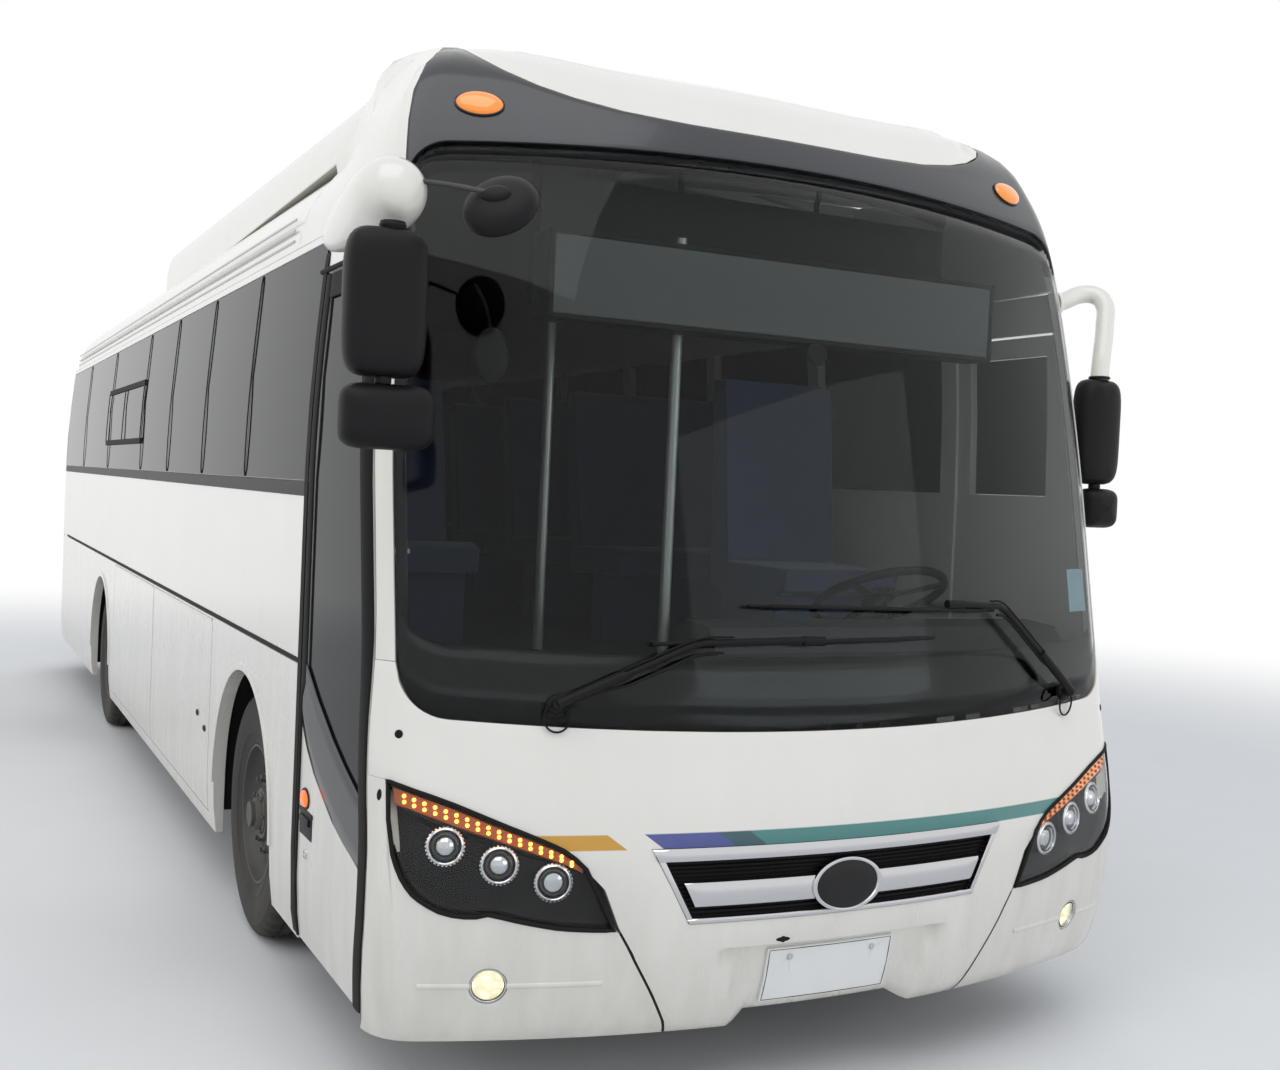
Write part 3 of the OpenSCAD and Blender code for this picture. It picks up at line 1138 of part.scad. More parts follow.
chassis_frame();
floor();
front_mask();
bumper_corners();
windscreen();
a_pillars();
brow();
front_cap();
cab_side();
side_wall_right();
side_wall_left();
side_windows();
roof();
roof_pod();
rear_panel();
rear_cap();
rear_window();
rear_bumper();
tail_lamps();
dashboard();
steering_wheel();
driver_seat();
seats_right();
seats_left();
sign_box();
grab_rails();
headlamps();
lamp_units();
grille();
number_plate();
wipers();
mirror_right();
mirror_left();
marker_lamps();
engine_block();
front_axle();
rear_axle();
arch_liners();
entrance_steps();
luggage_bay();
knuckle_left();
knuckle_right();
tyre_front_left();
rim_front_left();
tyre_front_right();
rim_front_right();
tyres_rear_left();
rims_rear_left();
tyres_rear_right();
rims_rear_right();
door_panel();
door_glass();
door_arm();
flap_right_front();
flap_right_rear();
flap_left_front();
flap_left_rear();
engine_lid();
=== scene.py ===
# %% [markdown]
# # An airport passenger bus
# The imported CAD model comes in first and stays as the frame: doors, wheels and flaps ride on its
# bodies. Flat and plain parts keep their CAD solid and get a finish. Curved panels are laid again as
# fine sheets on the same surface, because paint and glass show every facet in their reflections.

# %% The frame
import bpy, json, math
from mathutils import Matrix, Vector


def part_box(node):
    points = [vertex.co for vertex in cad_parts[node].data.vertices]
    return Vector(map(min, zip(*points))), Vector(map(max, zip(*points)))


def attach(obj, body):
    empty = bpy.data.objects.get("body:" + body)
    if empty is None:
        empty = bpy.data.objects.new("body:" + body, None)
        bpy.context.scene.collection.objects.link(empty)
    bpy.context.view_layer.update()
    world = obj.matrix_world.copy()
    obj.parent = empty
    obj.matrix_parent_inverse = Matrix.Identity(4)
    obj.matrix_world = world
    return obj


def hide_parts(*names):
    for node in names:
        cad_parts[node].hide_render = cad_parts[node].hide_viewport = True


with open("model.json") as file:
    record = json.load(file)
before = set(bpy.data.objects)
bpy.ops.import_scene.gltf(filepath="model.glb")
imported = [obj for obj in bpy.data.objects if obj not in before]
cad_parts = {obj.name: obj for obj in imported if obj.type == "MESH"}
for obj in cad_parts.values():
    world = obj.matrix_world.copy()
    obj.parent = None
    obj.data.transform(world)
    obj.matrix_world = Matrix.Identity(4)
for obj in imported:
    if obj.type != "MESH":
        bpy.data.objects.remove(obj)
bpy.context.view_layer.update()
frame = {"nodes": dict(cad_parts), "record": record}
bpy.ops.object.select_all(action="DESELECT")
nodes = frame["nodes"]
scene = bpy.context.scene
scene.view_settings.view_transform = "Standard"
print("frame loaded:", len(nodes), "nodes")

# %% [markdown]
# ## The camera
# The photographer stood to the left in front of the bus, at eye height. The place and the three axes
# were solved from mirrored points of lamps, grille and plate, so they are given as a plain matrix.

# %% The camera and how it stands
LENS_MM, SENSOR_MM, EYE, SEES = 40.12, 36.0, (-2.2875, -7.9212, 1.6621), (0.1, 200)
TO_RIGHT, TO_TOP = (0.89237, -0.44901, 0.04552), (-0.02615, 0.04925, 0.99844)
TO_BACK = (-0.45055, -0.89217, 0.0322)


def axes(x, y, z, place):
    """Matrix with these three axes and this place."""
    return Matrix([(x[k], y[k], z[k], place[k]) for k in range(3)] + [(0, 0, 0, 1)])


camera_data = bpy.data.cameras.new("camera")
camera = bpy.data.objects.new("camera", camera_data)
scene.collection.objects.link(camera)
camera_data.sensor_width, camera_data.lens = SENSOR_MM, LENS_MM
camera_data.clip_start, camera_data.clip_end = SEES
camera.matrix_world = axes(TO_RIGHT, TO_TOP, TO_BACK, EYE)
scene.camera = camera
print("camera at", EYE)

# %% [markdown]
# ## The shape of the nose
# A bus front is a wide arc in plan with a small corner radius at each side, leaning back as it rises.
# These few tables describe it: set-back and half width against height. Every front panel, pane and
# lamp is then placed by its distance s along the arc and its height z, all in millimetres.

# %% Surface of the front
BODY_LEN, HALF_W, SILL, CROWN, EAVE, SEAM_Z = 9500, 1245, 250, 2985, 2400, 2625
SCREEN_Z, GRILLE_Z, GRILLE_H, GRILLE_LOW, GRILLE_TOP = 1022, 531, 202, 469, 580
NOSE_R, CORNER_R, GAP, SHUT, SHELL = 3300, 150, 0.8, 8, 0.036
# The glass ends at an angle in the corner; its foot and head are bowed lines with round ends.
GLASS_TURN, BOW_S, FOOT_BOW, FOOT_R, HEAD_BOW, HEAD_R = math.radians(42), 1100, 33, 130, 40, 120
SEAL_IN, SEAL_FROM, SEAL_OVER = 65, 800, 500
EAVE_W = HALF_W - 45
NOSE = [(SILL - 50, 118, -1.3), (SILL + 20, 60, -0.35), (650, 10, 0), (SCREEN_Z, 76, 0.2), (2000, 262, 0.2),
        (SEAM_Z - 120, 380, 0.32), (SEAM_Z + 95, 480, 0.62), (CROWN - 125, 590, 1.4), (CROWN - 20, 860, 4)]
SIDE = [(SILL - 50, HALF_W - 24, 0.16), (450, HALF_W, 0), (1640, HALF_W, 0), (EAVE, EAVE_W, -0.09),
        (CROWN - 285, EAVE_W - 40, -0.3), (CROWN - 125, EAVE_W - 125, -0.9), (CROWN - 25, EAVE_W - 260, -2)]


def lerp(a, b, t):
    return a + (b - a) * t


def clamp(t):
    return min(1.0, max(0.0, t))


def ease(value, start, over):
    """0 up to the start, then softly rising to 1 over so much."""
    t = clamp((value - start) / over)
    return t * t * (3 - 2 * t)


def curve(table, z):
    if z <= table[0][0]:
        return table[0][1] + (z - table[0][0]) * table[0][2]
    k = 0
    while k < len(table) - 2 and z >= table[k + 1][0]:
        k += 1
    a, b = table[k], table[k + 1]
    h = b[0] - a[0]
    t = (z - a[0]) / h
    return ((2*t**3 - 3*t*t + 1) * a[1] + (t**3 - 2*t*t + t) * h * a[2]
            + (3*t*t - 2*t**3) * b[1] + (t**3 - t*t) * h * b[2])


def turn(z):
    """The angle at which the wide arc passes into the corner."""
    return math.asin((curve(SIDE, z) - CORNER_R) / (NOSE_R - CORNER_R))


def arc_end(z):
    return NOSE_R * turn(z)


def corner_end(z):
    return arc_end(z) + CORNER_R * (math.pi / 2 - turn(z))


def corner_back(z):
    return NOSE_R - math.sqrt((NOSE_R - CORNER_R)**2 - (curve(SIDE, z) - CORNER_R)**2)


def plan_half(s, z):
    """Width and set-back at s: along the wide arc, round the corner, then straight along the side."""
    s1, s2, w = arc_end(z), corner_end(z), curve(SIDE, z)
    if s <= s1:
        return NOSE_R * math.sin(s / NOSE_R), NOSE_R - NOSE_R * math.cos(s / NOSE_R)
    if s <= s2:
        b = turn(z) + (s - s1) / CORNER_R
        return w - CORNER_R + CORNER_R * math.sin(b), corner_back(z) - CORNER_R * math.cos(b)
    return w, corner_back(z) + s - s2


def front_pt(s, z):
    x, y = plan_half(abs(s), z)
    return Vector((math.copysign(x, s), curve(NOSE, z) + y, z))


def on_surface(s, z, back=0.0):
    """The point at (s, z), so far behind the surface along its normal."""
    along_s, along_z = front_pt(s + 1, z) - front_pt(s - 1, z), front_pt(s, z + 1) - front_pt(s, z - 1)
    return front_pt(s, z) - along_s.cross(along_z).normalized() * back


def to_scene(p):
    """Millimetres behind the nose made into the frame's metres."""
    return Vector((p[0] / 1000, (p[1] - BODY_LEN / 2) / 1000, p[2] / 1000))


def laid(s, z, back=0.0):
    return to_scene(on_surface(s, z, back))


def glass_edge(z):
    return arc_end(z) + CORNER_R * (GLASS_TURN - turn(z))


def seal_edge(z):
    return corner_end(z) - SEAL_IN * ease(z, SEAL_FROM, SEAL_OVER)


def side_s(y, z):
    return corner_end(z) + y - curve(NOSE, z) - corner_back(z)


EDGE_S = glass_edge(SCREEN_Z)


def rounded(s, radius, off):
    """How far the line at a corner of the glass has bent away from its way at s."""
    r, past = radius + off, s - (EDGE_S - radius)
    return r - math.sqrt(max(0, r*r - past**2)) if past > 0 else 0


def screen_low(s, off=0.0):
    return SCREEN_Z + FOOT_BOW * (s / BOW_S)**2 - off + rounded(s, FOOT_R, off)


def screen_high(s, off=0.0):
    return SEAM_Z - HEAD_BOW * (s / BOW_S)**2 + off - rounded(s, HEAD_R, off)


PILLAR_LOW = screen_low(EDGE_S + GAP, GAP)
print("windscreen edge", round(EDGE_S), "mm from the middle, pillar foot at", round(PILLAR_LOW))

# %% [markdown]
# ## Effects that finishes share
# Paint, plastic, rubber and glass differ mostly in gloss. Road dust and a fine grain appear in
# several of them, so those two are node groups, built once and placed with their own values. A small
# helper adds a node with its values and links in one call, which keeps the graphs short to read.

# %% Helpers for nodes, then road dust and moulded grain
WHITE = (1, 1, 1, 1)


def node(tree, kind, inputs=(), **settings):
    """Adds a shader node; inputs lead from a socket to a value or to another node's output."""
    made = tree.nodes.new("ShaderNode" + kind)
    for key, value in settings.items():
        setattr(made, key, value)
    for key, value in dict(inputs).items():
        if isinstance(value, bpy.types.NodeSocket):
            tree.links.new(value, made.inputs[key])
        else:
            made.inputs[key].default_value = value
    return made


def product(tree, a, b, clamped=False):
    return node(tree, "Math", {0: a, 1: b}, operation="MULTIPLY", use_clamp=clamped).outputs[0]


def blended(tree, share, a, b):
    """Colour a, turning into colour b with the share."""
    return node(tree, "Mix", {"Factor": share, "A": a, "B": b}, data_type="RGBA").outputs["Result"]


def effect_group(name, **sockets):
    """An empty group and its sockets with first values; Color, Mask and Height are put out."""
    g = bpy.data.node_groups.new(name, "ShaderNodeTree")
    for key, value in sockets.items():
        kind = "NodeSocketFloat" if isinstance(value, float) else "NodeSocketColor"
        made = g.interface.new_socket(name=key, socket_type=kind,
                                      in_out="OUTPUT" if key in ("Color", "Mask", "Height") else "INPUT")
        made.default_value = value
    return g, g.nodes.new("NodeGroupInput").outputs, g.nodes.new("NodeGroupOutput").inputs


def new_dust_group():
    """Dust in upright streaks that thins out towards the height Top."""
    g, given, out = effect_group("road_dust", Clean=WHITE, Dust=(0.28, 0.25, 0.2, 1), Amount=0.3, Top=1.2,
                                 Color=WHITE, Mask=0.0)
    place = node(g, "TexCoord").outputs["Object"]
    streak = node(g, "Mapping", {"Vector": place, "Scale": (5, 5, 0.9)}).outputs[0]
    noise = node(g, "TexNoise", {"Vector": streak, "Scale": 3.0, "Detail": 6}).outputs["Fac"]
    height = node(g, "SeparateXYZ", {0: place}).outputs["Z"]
    low = node(g, "MapRange", {"Value": height, "From Min": 0.1, "From Max": given["Top"],
                               "To Min": 1, "To Max": 0.12}).outputs[0]
    mask = product(g, product(g, low, noise), given["Amount"], True)
    g.links.new(blended(g, mask, given["Clean"], given["Dust"]), out["Color"])
    g.links.new(mask, out["Mask"])
    return g


def new_grain_group():
    """The fine bumps of moulded plastic, rubber and cloth."""
    g, given, out = effect_group("moulded_grain", Scale=300.0, Height=0.0)
    place = node(g, "TexCoord").outputs["Object"]
    noise = node(g, "TexNoise", {"Vector": place, "Scale": given["Scale"], "Detail": 3})
    g.links.new(noise.outputs["Fac"], out["Height"])
    return g


dust_group, grain_group = new_dust_group(), new_grain_group()
print("effect groups:", dust_group.name, grain_group.name)

# %% [markdown]
# ## One maker for all finishes
# Every finish starts from the same recipe: a colour that varies a little over the surface, dust over
# it, and a roughness that rises where the dust lies. What is the same all over goes straight on the
# shader's own sockets, and only grain adds a bump.

# %% The recipe
COAT_ROUGH, CLOUD_SCALE, DUST_ROUGH, GRAIN_DEPTH = 0.04, 2.3, 0.45, 0.002


def finish(name, color, rough=0.5, metal=0.0, coat=0.0, dust=0.0, dust_top=1.2, grain=0.0, scale=300,
           glow=None, vary=0.04, **sockets):
    m = bpy.data.materials.new(name)
    m.use_nodes = True
    t = m.node_tree
    own = t.nodes["Principled BSDF"].inputs
    sockets.update({"Metallic": metal, "Coat Weight": coat, "Coat Roughness": COAT_ROUGH})
    if glow:
        sockets.update({"Emission Color": (*glow[0], 1), "Emission Strength": glow[1]})
    for key, value in sockets.items():
        own[key.replace("_", " ")].default_value = value
    place = node(t, "TexCoord").outputs["Object"]
    cloud = node(t, "TexNoise", {"Vector": place, "Scale": CLOUD_SCALE, "Detail": 5}).outputs["Fac"]
    tone = blended(t, cloud, [c * (1 - vary) for c in color] + [1],
                   [min(1, c * (1 + vary)) for c in color] + [1])
    dirt = node(t, "Group", node_tree=dust_group)
    dirt.inputs["Amount"].default_value, dirt.inputs["Top"].default_value = dust, dust_top
    t.links.new(tone, dirt.inputs["Clean"])
    t.links.new(dirt.outputs["Color"], own["Base Color"])
    matt = node(t, "MapRange", {"Value": dirt.outputs["Mask"], "To Min": rough,
                                "To Max": min(1, rough + DUST_ROUGH)})
    t.links.new(matt.outputs[0], own["Roughness"])
    if grain:
        bumps = node(t, "Group", node_tree=grain_group)
        bumps.inputs["Scale"].default_value = scale
        bump = node(t, "Bump", {"Strength": grain, "Distance": GRAIN_DEPTH, "Height": bumps.outputs["Height"]})
        t.links.new(bump.outputs[0], own["Normal"])
    return m


# %% [markdown]
# ## The finishes of this bus
# Ivory coach paint with dust low down, near black plastics and rubbers with little shine, bright
# metal in grille and lamps, tinted side panes and clear glass in front. The glasses bend light less
# than real glass does, because a thin pane that is one closed sheet would otherwise mirror too much.

# %% All finishes, from paint to glass
IVORY = (0.785, 0.77, 0.71)
paint = finish("body_paint", IVORY, 0.22, coat=0.6, dust=0.5, dust_top=1.5)
brow_paint = finish("brow_paint", (0.04, 0.043, 0.048), 0.2, coat=0.15, dust=0.02, Specular_IOR_Level=0.35)
# Grey finish for pressed lines: painted shade, the shadow in the ribs and creases of the ivory panels given as
# a colour.
crease_shade = finish("pressed_line", (0.42, 0.41, 0.38), 0.35, coat=0.3, dust=0.4)
black_gloss = finish("black_gloss", (0.005, 0.005, 0.006), 0.12, dust=0.04, Specular_IOR_Level=0.35)
black_plastic = finish("black_plastic", (0.009, 0.009, 0.010), 0.4, grain=0.4, scale=420, dust=0.05,
                       Specular_IOR_Level=0.14)
rubber = finish("rubber_seal", (0.007, 0.007, 0.007), 0.65, grain=0.3, dust=0.06, Specular_IOR_Level=0.15)
tyre_rubber = finish("tyre_rubber", (0.012, 0.012, 0.012), 0.78, grain=0.6, scale=160, dust=0.2, dust_top=0.9)
# Near-black rim paint: a dark paint, made darker still as painted shade of the wheel arch's shadow over the
# rims.
rim_paint = finish("rim_paint", (0.06, 0.06, 0.062), 0.5, metal=0.3, dust=0.3, dust_top=0.9)
chrome = finish("chrome", (0.6, 0.605, 0.62), 0.1, metal=1.0, dust=0.06)
reflector = finish("lamp_reflector", (0.62, 0.625, 0.64), 0.12, metal=1.0)
steel = finish("frame_steel", (0.05, 0.05, 0.052), 0.6, metal=0.3, grain=0.4, dust=0.7)
floor_vinyl = finish("floor_vinyl", (0.09, 0.095, 0.1), 0.6, grain=0.4, scale=90)
seat_cloth = finish("seat_cloth", (0.05, 0.07, 0.14), 0.9, grain=0.8, scale=500, Sheen_Weight=0.3)
dash_plastic = finish("dash_plastic", (0.03, 0.031, 0.033), 0.6, grain=0.6, scale=380)
plate_white = finish("plate_white", (0.82, 0.83, 0.82), 0.35, dust=0.15)
lining = finish("cabin_lining", (0.2, 0.2, 0.195), 0.8, grain=0.3)
amber_glow = finish("amber_led", (0.9, 0.35, 0.03), 0.25, glow=((1.0, 0.42, 0.06), 5.0))
indicator_lens = finish("indicator_lens", (0.3, 0.06, 0.004), 0.25, coat=0.2, glow=((1.0, 0.25, 0.01), 0.05))
marker_lit = finish("door_marker", (0.85, 0.1, 0.012), 0.2, glow=((1.0, 0.16, 0.015), 0.9))
amber_lens = finish("amber_lens", (0.85, 0.24, 0.02), 0.12, coat=1.0, glow=((1.0, 0.3, 0.02), 0.25))
warm_glow = finish("fog_glow", (1.0, 0.93, 0.7), 0.2, glow=((1.0, 0.86, 0.5), 1.3))
sticker_blue = finish("sticker_blue", (0.42, 0.62, 0.74), 0.4, vary=0.12)
red_lens = finish("red_lens", (0.5, 0.02, 0.015), 0.15, coat=1.0)
pole_paint = finish("grab_pole", (0.4, 0.4, 0.39), 0.3, metal=0.6)
tinted = finish("tinted_glass", (0.012, 0.014, 0.016), 0.07, dust=0.03, vary=0.02, Specular_IOR_Level=0.06)
GLASS = dict(Transmission_Weight=1.0, IOR=1.22, Specular_IOR_Level=0.3)
clear = finish("lamp_glass", (0.95, 0.96, 0.97), 0.03, **GLASS)
screen_glass = finish("screen_glass", (0.6, 0.64, 0.635), 0.0, vary=0.0, **GLASS)
print("finishes:", len(bpy.data.materials))

# %% [markdown]
# ## Laying a panel on the nose
# By hand one would shrink-wrap a grid onto the form. Here a grid primitive is added, each of its
# points is laid at its (s, z, set-back), the cells of openings are deleted, and Solidify and Bevel
# give it the sheet's thickness and a soft edge that catches light.

# %% Helpers that turn a grid into a panel
def mode(name):
    bpy.ops.object.mode_set(mode=name)


def choose(obj):
    if bpy.context.object and bpy.context.object.mode != "OBJECT":
        mode("OBJECT")
    bpy.ops.object.select_all(action="DESELECT")
    obj.select_set(True)
    bpy.context.view_layer.objects.active = obj


def set_place(obj, matrix=None):
    """Puts the object's place, turn and size into its mesh."""
    choose(obj)
    if matrix:
        obj.matrix_world = matrix
    bpy.ops.object.transform_apply(location=True, rotation=True, scale=True)
    return obj


def add_modifier(obj, kind, **values):
    choose(obj)
    m = obj.modifiers.new(kind.title(), kind)
    for key, value in values.items():
        setattr(m, key, value)
    bpy.ops.object.modifier_apply(modifier=m.name)


def soften(obj, width=0.0015, angle=35, segments=2):
    if width:
        add_modifier(obj, "BEVEL", width=width, segments=segments, limit_method="ANGLE",
                     angle_limit=math.radians(angle), harden_normals=False)
    choose(obj)
    bpy.ops.object.shade_smooth_by_angle(angle=math.radians(angle))


def settle(obj, body, material, replaced=()):
    """Puts the place into the mesh, gives the finish and lets the piece ride on its body."""
    set_place(obj)
    obj.data.materials.clear()
    obj.data.materials.append(material)
    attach(obj, body)
    if replaced:
        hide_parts(*replaced)
    print(obj.name, len(obj.data.polygons), "faces")
    return obj


def thicken(obj, depth):
    add_modifier(obj, "SOLIDIFY", thickness=depth, offset=-1, use_even_offset=False)


def outward(obj, merge=0.0):
    """Merges the doubles of a closed form and turns its faces outwards."""
    choose(obj)
    mode("EDIT")
    bpy.ops.mesh.select_all(action="SELECT")
    if merge:
        bpy.ops.mesh.remove_doubles(threshold=merge)
    bpy.ops.mesh.normals_make_consistent(inside=False)
    mode("OBJECT")
    return obj


def grid(name, columns, rows):
    """A flat grid from -1 to 1, whose points are then laid where they belong."""
    bpy.ops.mesh.primitive_grid_add(x_subdivisions=columns, y_subdivisions=rows, size=2)
    obj = bpy.context.object
    obj.name = obj.data.name = name
    return obj


def panel(name, cols, depth, keep=None, edge=0.0015, fine=1, place=None):
    """Grid primitive laid on the surface: cols hold (s, z, set-back) in mm, left to right, low to high."""
    nu, nv = len(cols) - 1, len(cols[0]) - 1
    obj = grid(name, nu * fine, nv * fine)
    drop = []
    if keep:
        for f in obj.data.polygons:
            i, j = int((f.center.x + 1) / 2 * nu), int((f.center.y + 1) / 2 * nv)
            if not keep(i, j):
                drop.append(f.index)
    for v in obj.data.vertices:
        u, w = (v.co.x + 1) / 2 * nu, (v.co.y + 1) / 2 * nv
        i, j = min(int(u + 1e-6), nu - 1), min(int(w + 1e-6), nv - 1)
        a = [lerp(p, q, u - i) for p, q in zip(cols[i][j], cols[i + 1][j])]
        b = [lerp(p, q, u - i) for p, q in zip(cols[i][j + 1], cols[i + 1][j + 1])]
        s, z, back = [lerp(p, q, w - j) for p, q in zip(a, b)]
        v.co = (place or laid)(s, z, back)
    if drop:
        for items in (obj.data.polygons, obj.data.edges, obj.data.vertices):
            items.foreach_set("select", [False] * len(items))
        for k in drop:
            obj.data.polygons[k].select = True
        mode("EDIT")
        bpy.ops.mesh.select_mode(type="FACE")
        bpy.ops.mesh.delete(type="FACE")
        bpy.ops.mesh.select_mode(type="VERT")
        mode("OBJECT")
    if depth:
        thicken(obj, depth)
    soften(obj, edge)
    return obj


def both_sides(half):
    """Columns of one half made into both halves."""
    return [[(-p[0], *p[1:]) for p in c] for c in half[:0:-1]] + half


def steps(a, b, n):
    return [lerp(a, b, k / n) for k in range(n + 1)]


def mirrored(obj, name):
    """A copy on the other side of the bus, with its faces turned the right way."""
    choose(obj)
    bpy.ops.object.duplicate()
    twin = bpy.context.object
    twin.name = twin.data.name = name
    twin.scale.x = -1
    set_place(twin)
    mode("EDIT")
    bpy.ops.mesh.select_all(action="SELECT")
    bpy.ops.mesh.flip_normals()
    mode("OBJECT")
    return twin


def join(name, *objs):
    choose(objs[0])
    if len(objs) > 1:
        for o in objs:
            o.select_set(True)
        bpy.ops.object.join()
    obj = bpy.context.object
    obj.name = obj.data.name = name
    return obj


print("panel helpers ready")

# %% [markdown]
# ## Front mask
# One large moulded panel: it wraps round both corners, opens for the grille and the headlamps and has
# a shallow recess for the number plate. It is one grid whose columns run from the sill up to the
# glass, because cutting the openings out of a plain sheet would leave uneven edges.

# %% The mask's outline and its sheet
EDGE_COLS = [1060, 1095, 1120, 1140, 1158, 1173, 1186, 1197, 1206, 1214, 1220, EDGE_S]
INNER_S = [0, 80, 160, 240, 280, 305, 320, 332, 344, 356, 368, 384, 400]
OUTER_S = [752, 779, 814, 863, 909, 954, 987, 1020] + EDGE_COLS
LAMP_OUT = 1262
PLATE_TOP = SILL + 190
# Rows of the mask: height, edge of the grille's opening, edge of the shut line to the bumper corner.
MASK_ROWS = [(SILL - 30, 416, 483), (SILL + 10, 420, 500), (SILL + 90, 436, 545), (PLATE_TOP, 452, 606),
             (PLATE_TOP + 20, 456, 616), (GRILLE_Z, GRILLE_LOW, 660),
             (GRILLE_Z + GRILLE_H / 2, (GRILLE_LOW + GRILLE_TOP) / 2, 702),
             (GRILLE_Z + GRILLE_H, GRILLE_TOP, 741)]
WRAP, SHUT_TOP, PLATE_HIGH = 6, 741, 3
# Upper and lower edge of the headlamp, as (s, z).
LAMP_HIGH = [(741, 671), (752, 687), (779, 713), (814, 738), (863, 759), (909, 778), (954, 795), (1019, 821),
             (1082, 846), (1146, 868), (1211, 888), (LAMP_OUT, 900)]
LAMP_LOW = [(660, 522), (740, 525), (816, 531), (870, 541), (927, 553), (970, 564), (1000, 570), (1010, 568),
            (1030, 564), (1058, 564), (1090, 568), (1123, 577), (1160, 596), (1188, 616), (1212, 643),
            (1231, 673), (1247, 715), (1255, 750), (LAMP_OUT, 835)]


def table_at(table, s):
    """Straight lines between the pairs of a table."""
    for (a, p), (b, q) in zip(table, table[1:]):
        if s <= b:
            return lerp(p, q, clamp((s - a) / (b - a)))
    return table[-1][1]


def lamp_top(s):
    return table_at(LAMP_HIGH, s)


HOLLOW, HOLLOW_LOW, HOLLOW_TOP, HOLLOW_SLOPE = 44, 300, 388, 55


def recess(s, z):
    """How far the number plate's hollow lies behind the panel."""
    edge = lerp(HOLLOW_LOW, HOLLOW_TOP, clamp((z - SILL) / (PLATE_TOP - SILL)))
    return HOLLOW * ease(edge, s, HOLLOW_SLOPE)


def mask_seal(z):
    return seal_edge(z) - SHUT / 2


def mask_column(k):
    """One column of the right half: low part beside grille and shut line, high part up to the glass."""
    inner, outer, last_row = len(INNER_S), len(INNER_S) + 2 + len(OUTER_S), len(MASK_ROWS) - 1
    col = []
    for j, (z, grille, shut) in enumerate(MASK_ROWS):
        back = recess(INNER_S[k], z) if k < inner and j <= PLATE_HIGH else 0
        if k < inner:
            col.append((INNER_S[k], z, back))
        elif k == inner:
            col.append((grille, z, 0))
        elif k == inner + 1:
            col.append((shut, lamp_top(SHUT_TOP) if j == last_row else z, 0))
        elif k < outer:
            s = OUTER_S[k - inner - 2]
            col.append((s, lamp_top(s), 0))
        else:
            z = lamp_top(LAMP_OUT)
            col.append((lerp(EDGE_S + GAP, mask_seal(z), (k - outer + 1) / WRAP), z, 0))
    for j in range(1, 5):
        if k < outer:
            s = col[last_row][0] + (GAP if k == outer - 1 else 0)
            col.append((s, lerp(col[last_row][1], screen_low(s, GAP), j / 4), 0))
        else:
            z = lerp(lamp_top(LAMP_OUT), PILLAR_LOW, j / 4)
            col.append((lerp(EDGE_S + GAP, mask_seal(z), (k - outer + 1) / WRAP), z, 0))
    return col


mask_cols = both_sides([mask_column(k) for k in range(len(INNER_S) + 2 + len(OUTER_S) + WRAP)])
half_count = (len(mask_cols) - 1) // 2


def mask_keep(i, j):
    """Leaves out the cells of the grille and of the lamps."""
    k = half_count - 1 - i if i < half_count else i - half_count
    inner = len(INNER_S)
    return j >= len(MASK_ROWS) - 1 or (k <= inner and not (k < inner and j >= 5))


mask = panel("front_mask_skin", mask_cols, SHELL, mask_keep, fine=2, edge=0.003)

# %% [markdown]
# ## Stripes under the windscreen
# Two painted stripes run under the glass: amber on one side and, slanting off from it, navy that
# turns into sea blue and teal. Tape laid as geometry would stand proud, so they are masks over the
# object's own height and width, mixed under the dust of the same paint.

# %% Amber, navy, sea blue and teal on the mask, all in metres
STRIPE_LOW, STRIPE_HIGH, SLANT = 0.732, 0.771, 1.32
LEAN = SLANT * 0.75
AMBER_FROM, AMBER_TO, BLUE_FROM, BLUE_TO = LEAN - 1.1, LEAN - 0.664, LEAN - 0.567, 2.5
SEA_AT, TEAL_AT = 0.39, 0.54
AMBER, NAVY = (0.6, 0.3, 0.02, 1), (0.045, 0.065, 0.27, 1)
SEA, TEAL = (0.008, 0.075, 0.1, 1), (0.03, 0.2, 0.19, 1)


def band(tree, value, low, high, soft=0.0015):
    """1 where the value lies between low and high."""
    up, down = (node(tree, "MapRange", {"Value": value, "From Min": a, "From Max": b}).outputs[0]
                for a, b in ((low - soft, low + soft), (high + soft, high - soft)))
    return product(tree, up, down)


def striped_paint():
    m = finish("mask_paint", IVORY, 0.2, coat=0.6, dust=0.45, dust_top=0.9)
    t = m.node_tree
    place = node(t, "SeparateXYZ", {0: t.nodes["Texture Coordinate"].outputs["Object"]}).outputs
    slant = node(t, "Math", {0: place["Z"], 1: SLANT, 2: place["X"]}, operation="MULTIPLY_ADD").outputs[0]
    level = band(t, place["Z"], STRIPE_LOW, STRIPE_HIGH)
    amber = product(t, level, band(t, slant, AMBER_FROM, AMBER_TO))
    blue = product(t, level, band(t, slant, BLUE_FROM, BLUE_TO))
    share = node(t, "MapRange", {"Value": slant, "From Min": LEAN - 0.6, "From Max": LEAN})
    ramp = node(t, "ValToRGB", {"Fac": share.outputs[0]})
    ramp.color_ramp.interpolation = "CONSTANT"
    stops = ramp.color_ramp.elements
    stops[1].position = TEAL_AT
    stops.new(SEA_AT)
    for stop, tone in zip(stops, (NAVY, SEA, TEAL)):
        stop.color = tone
    dirt = next(k for k in t.nodes if k.bl_idname == "ShaderNodeGroup").inputs["Clean"]
    with_amber = blended(t, amber, dirt.links[0].from_socket, AMBER)
    t.links.new(blended(t, blue, with_amber, ramp.outputs["Color"]), dirt)
    return m


mask_paint = striped_paint()
settle(mask, "root", mask_paint, ["front_mask"])

# %% [markdown]
# ## Windscreen
# One bowed sheet of glass, bonded in, so it has a black printed border and no rubber. It is laid
# like the mask, with many columns round the corner, where it bends most. The print is a second thin
# sheet just behind the glass, which is how it looks from outside.

# %% Windscreen: one bowed sheet, black where it is bonded along its edges
SCREEN_S = [0, 120, 240, 360, 480, 600, 700, 790, 870, 940, 1000, 1035] + EDGE_COLS


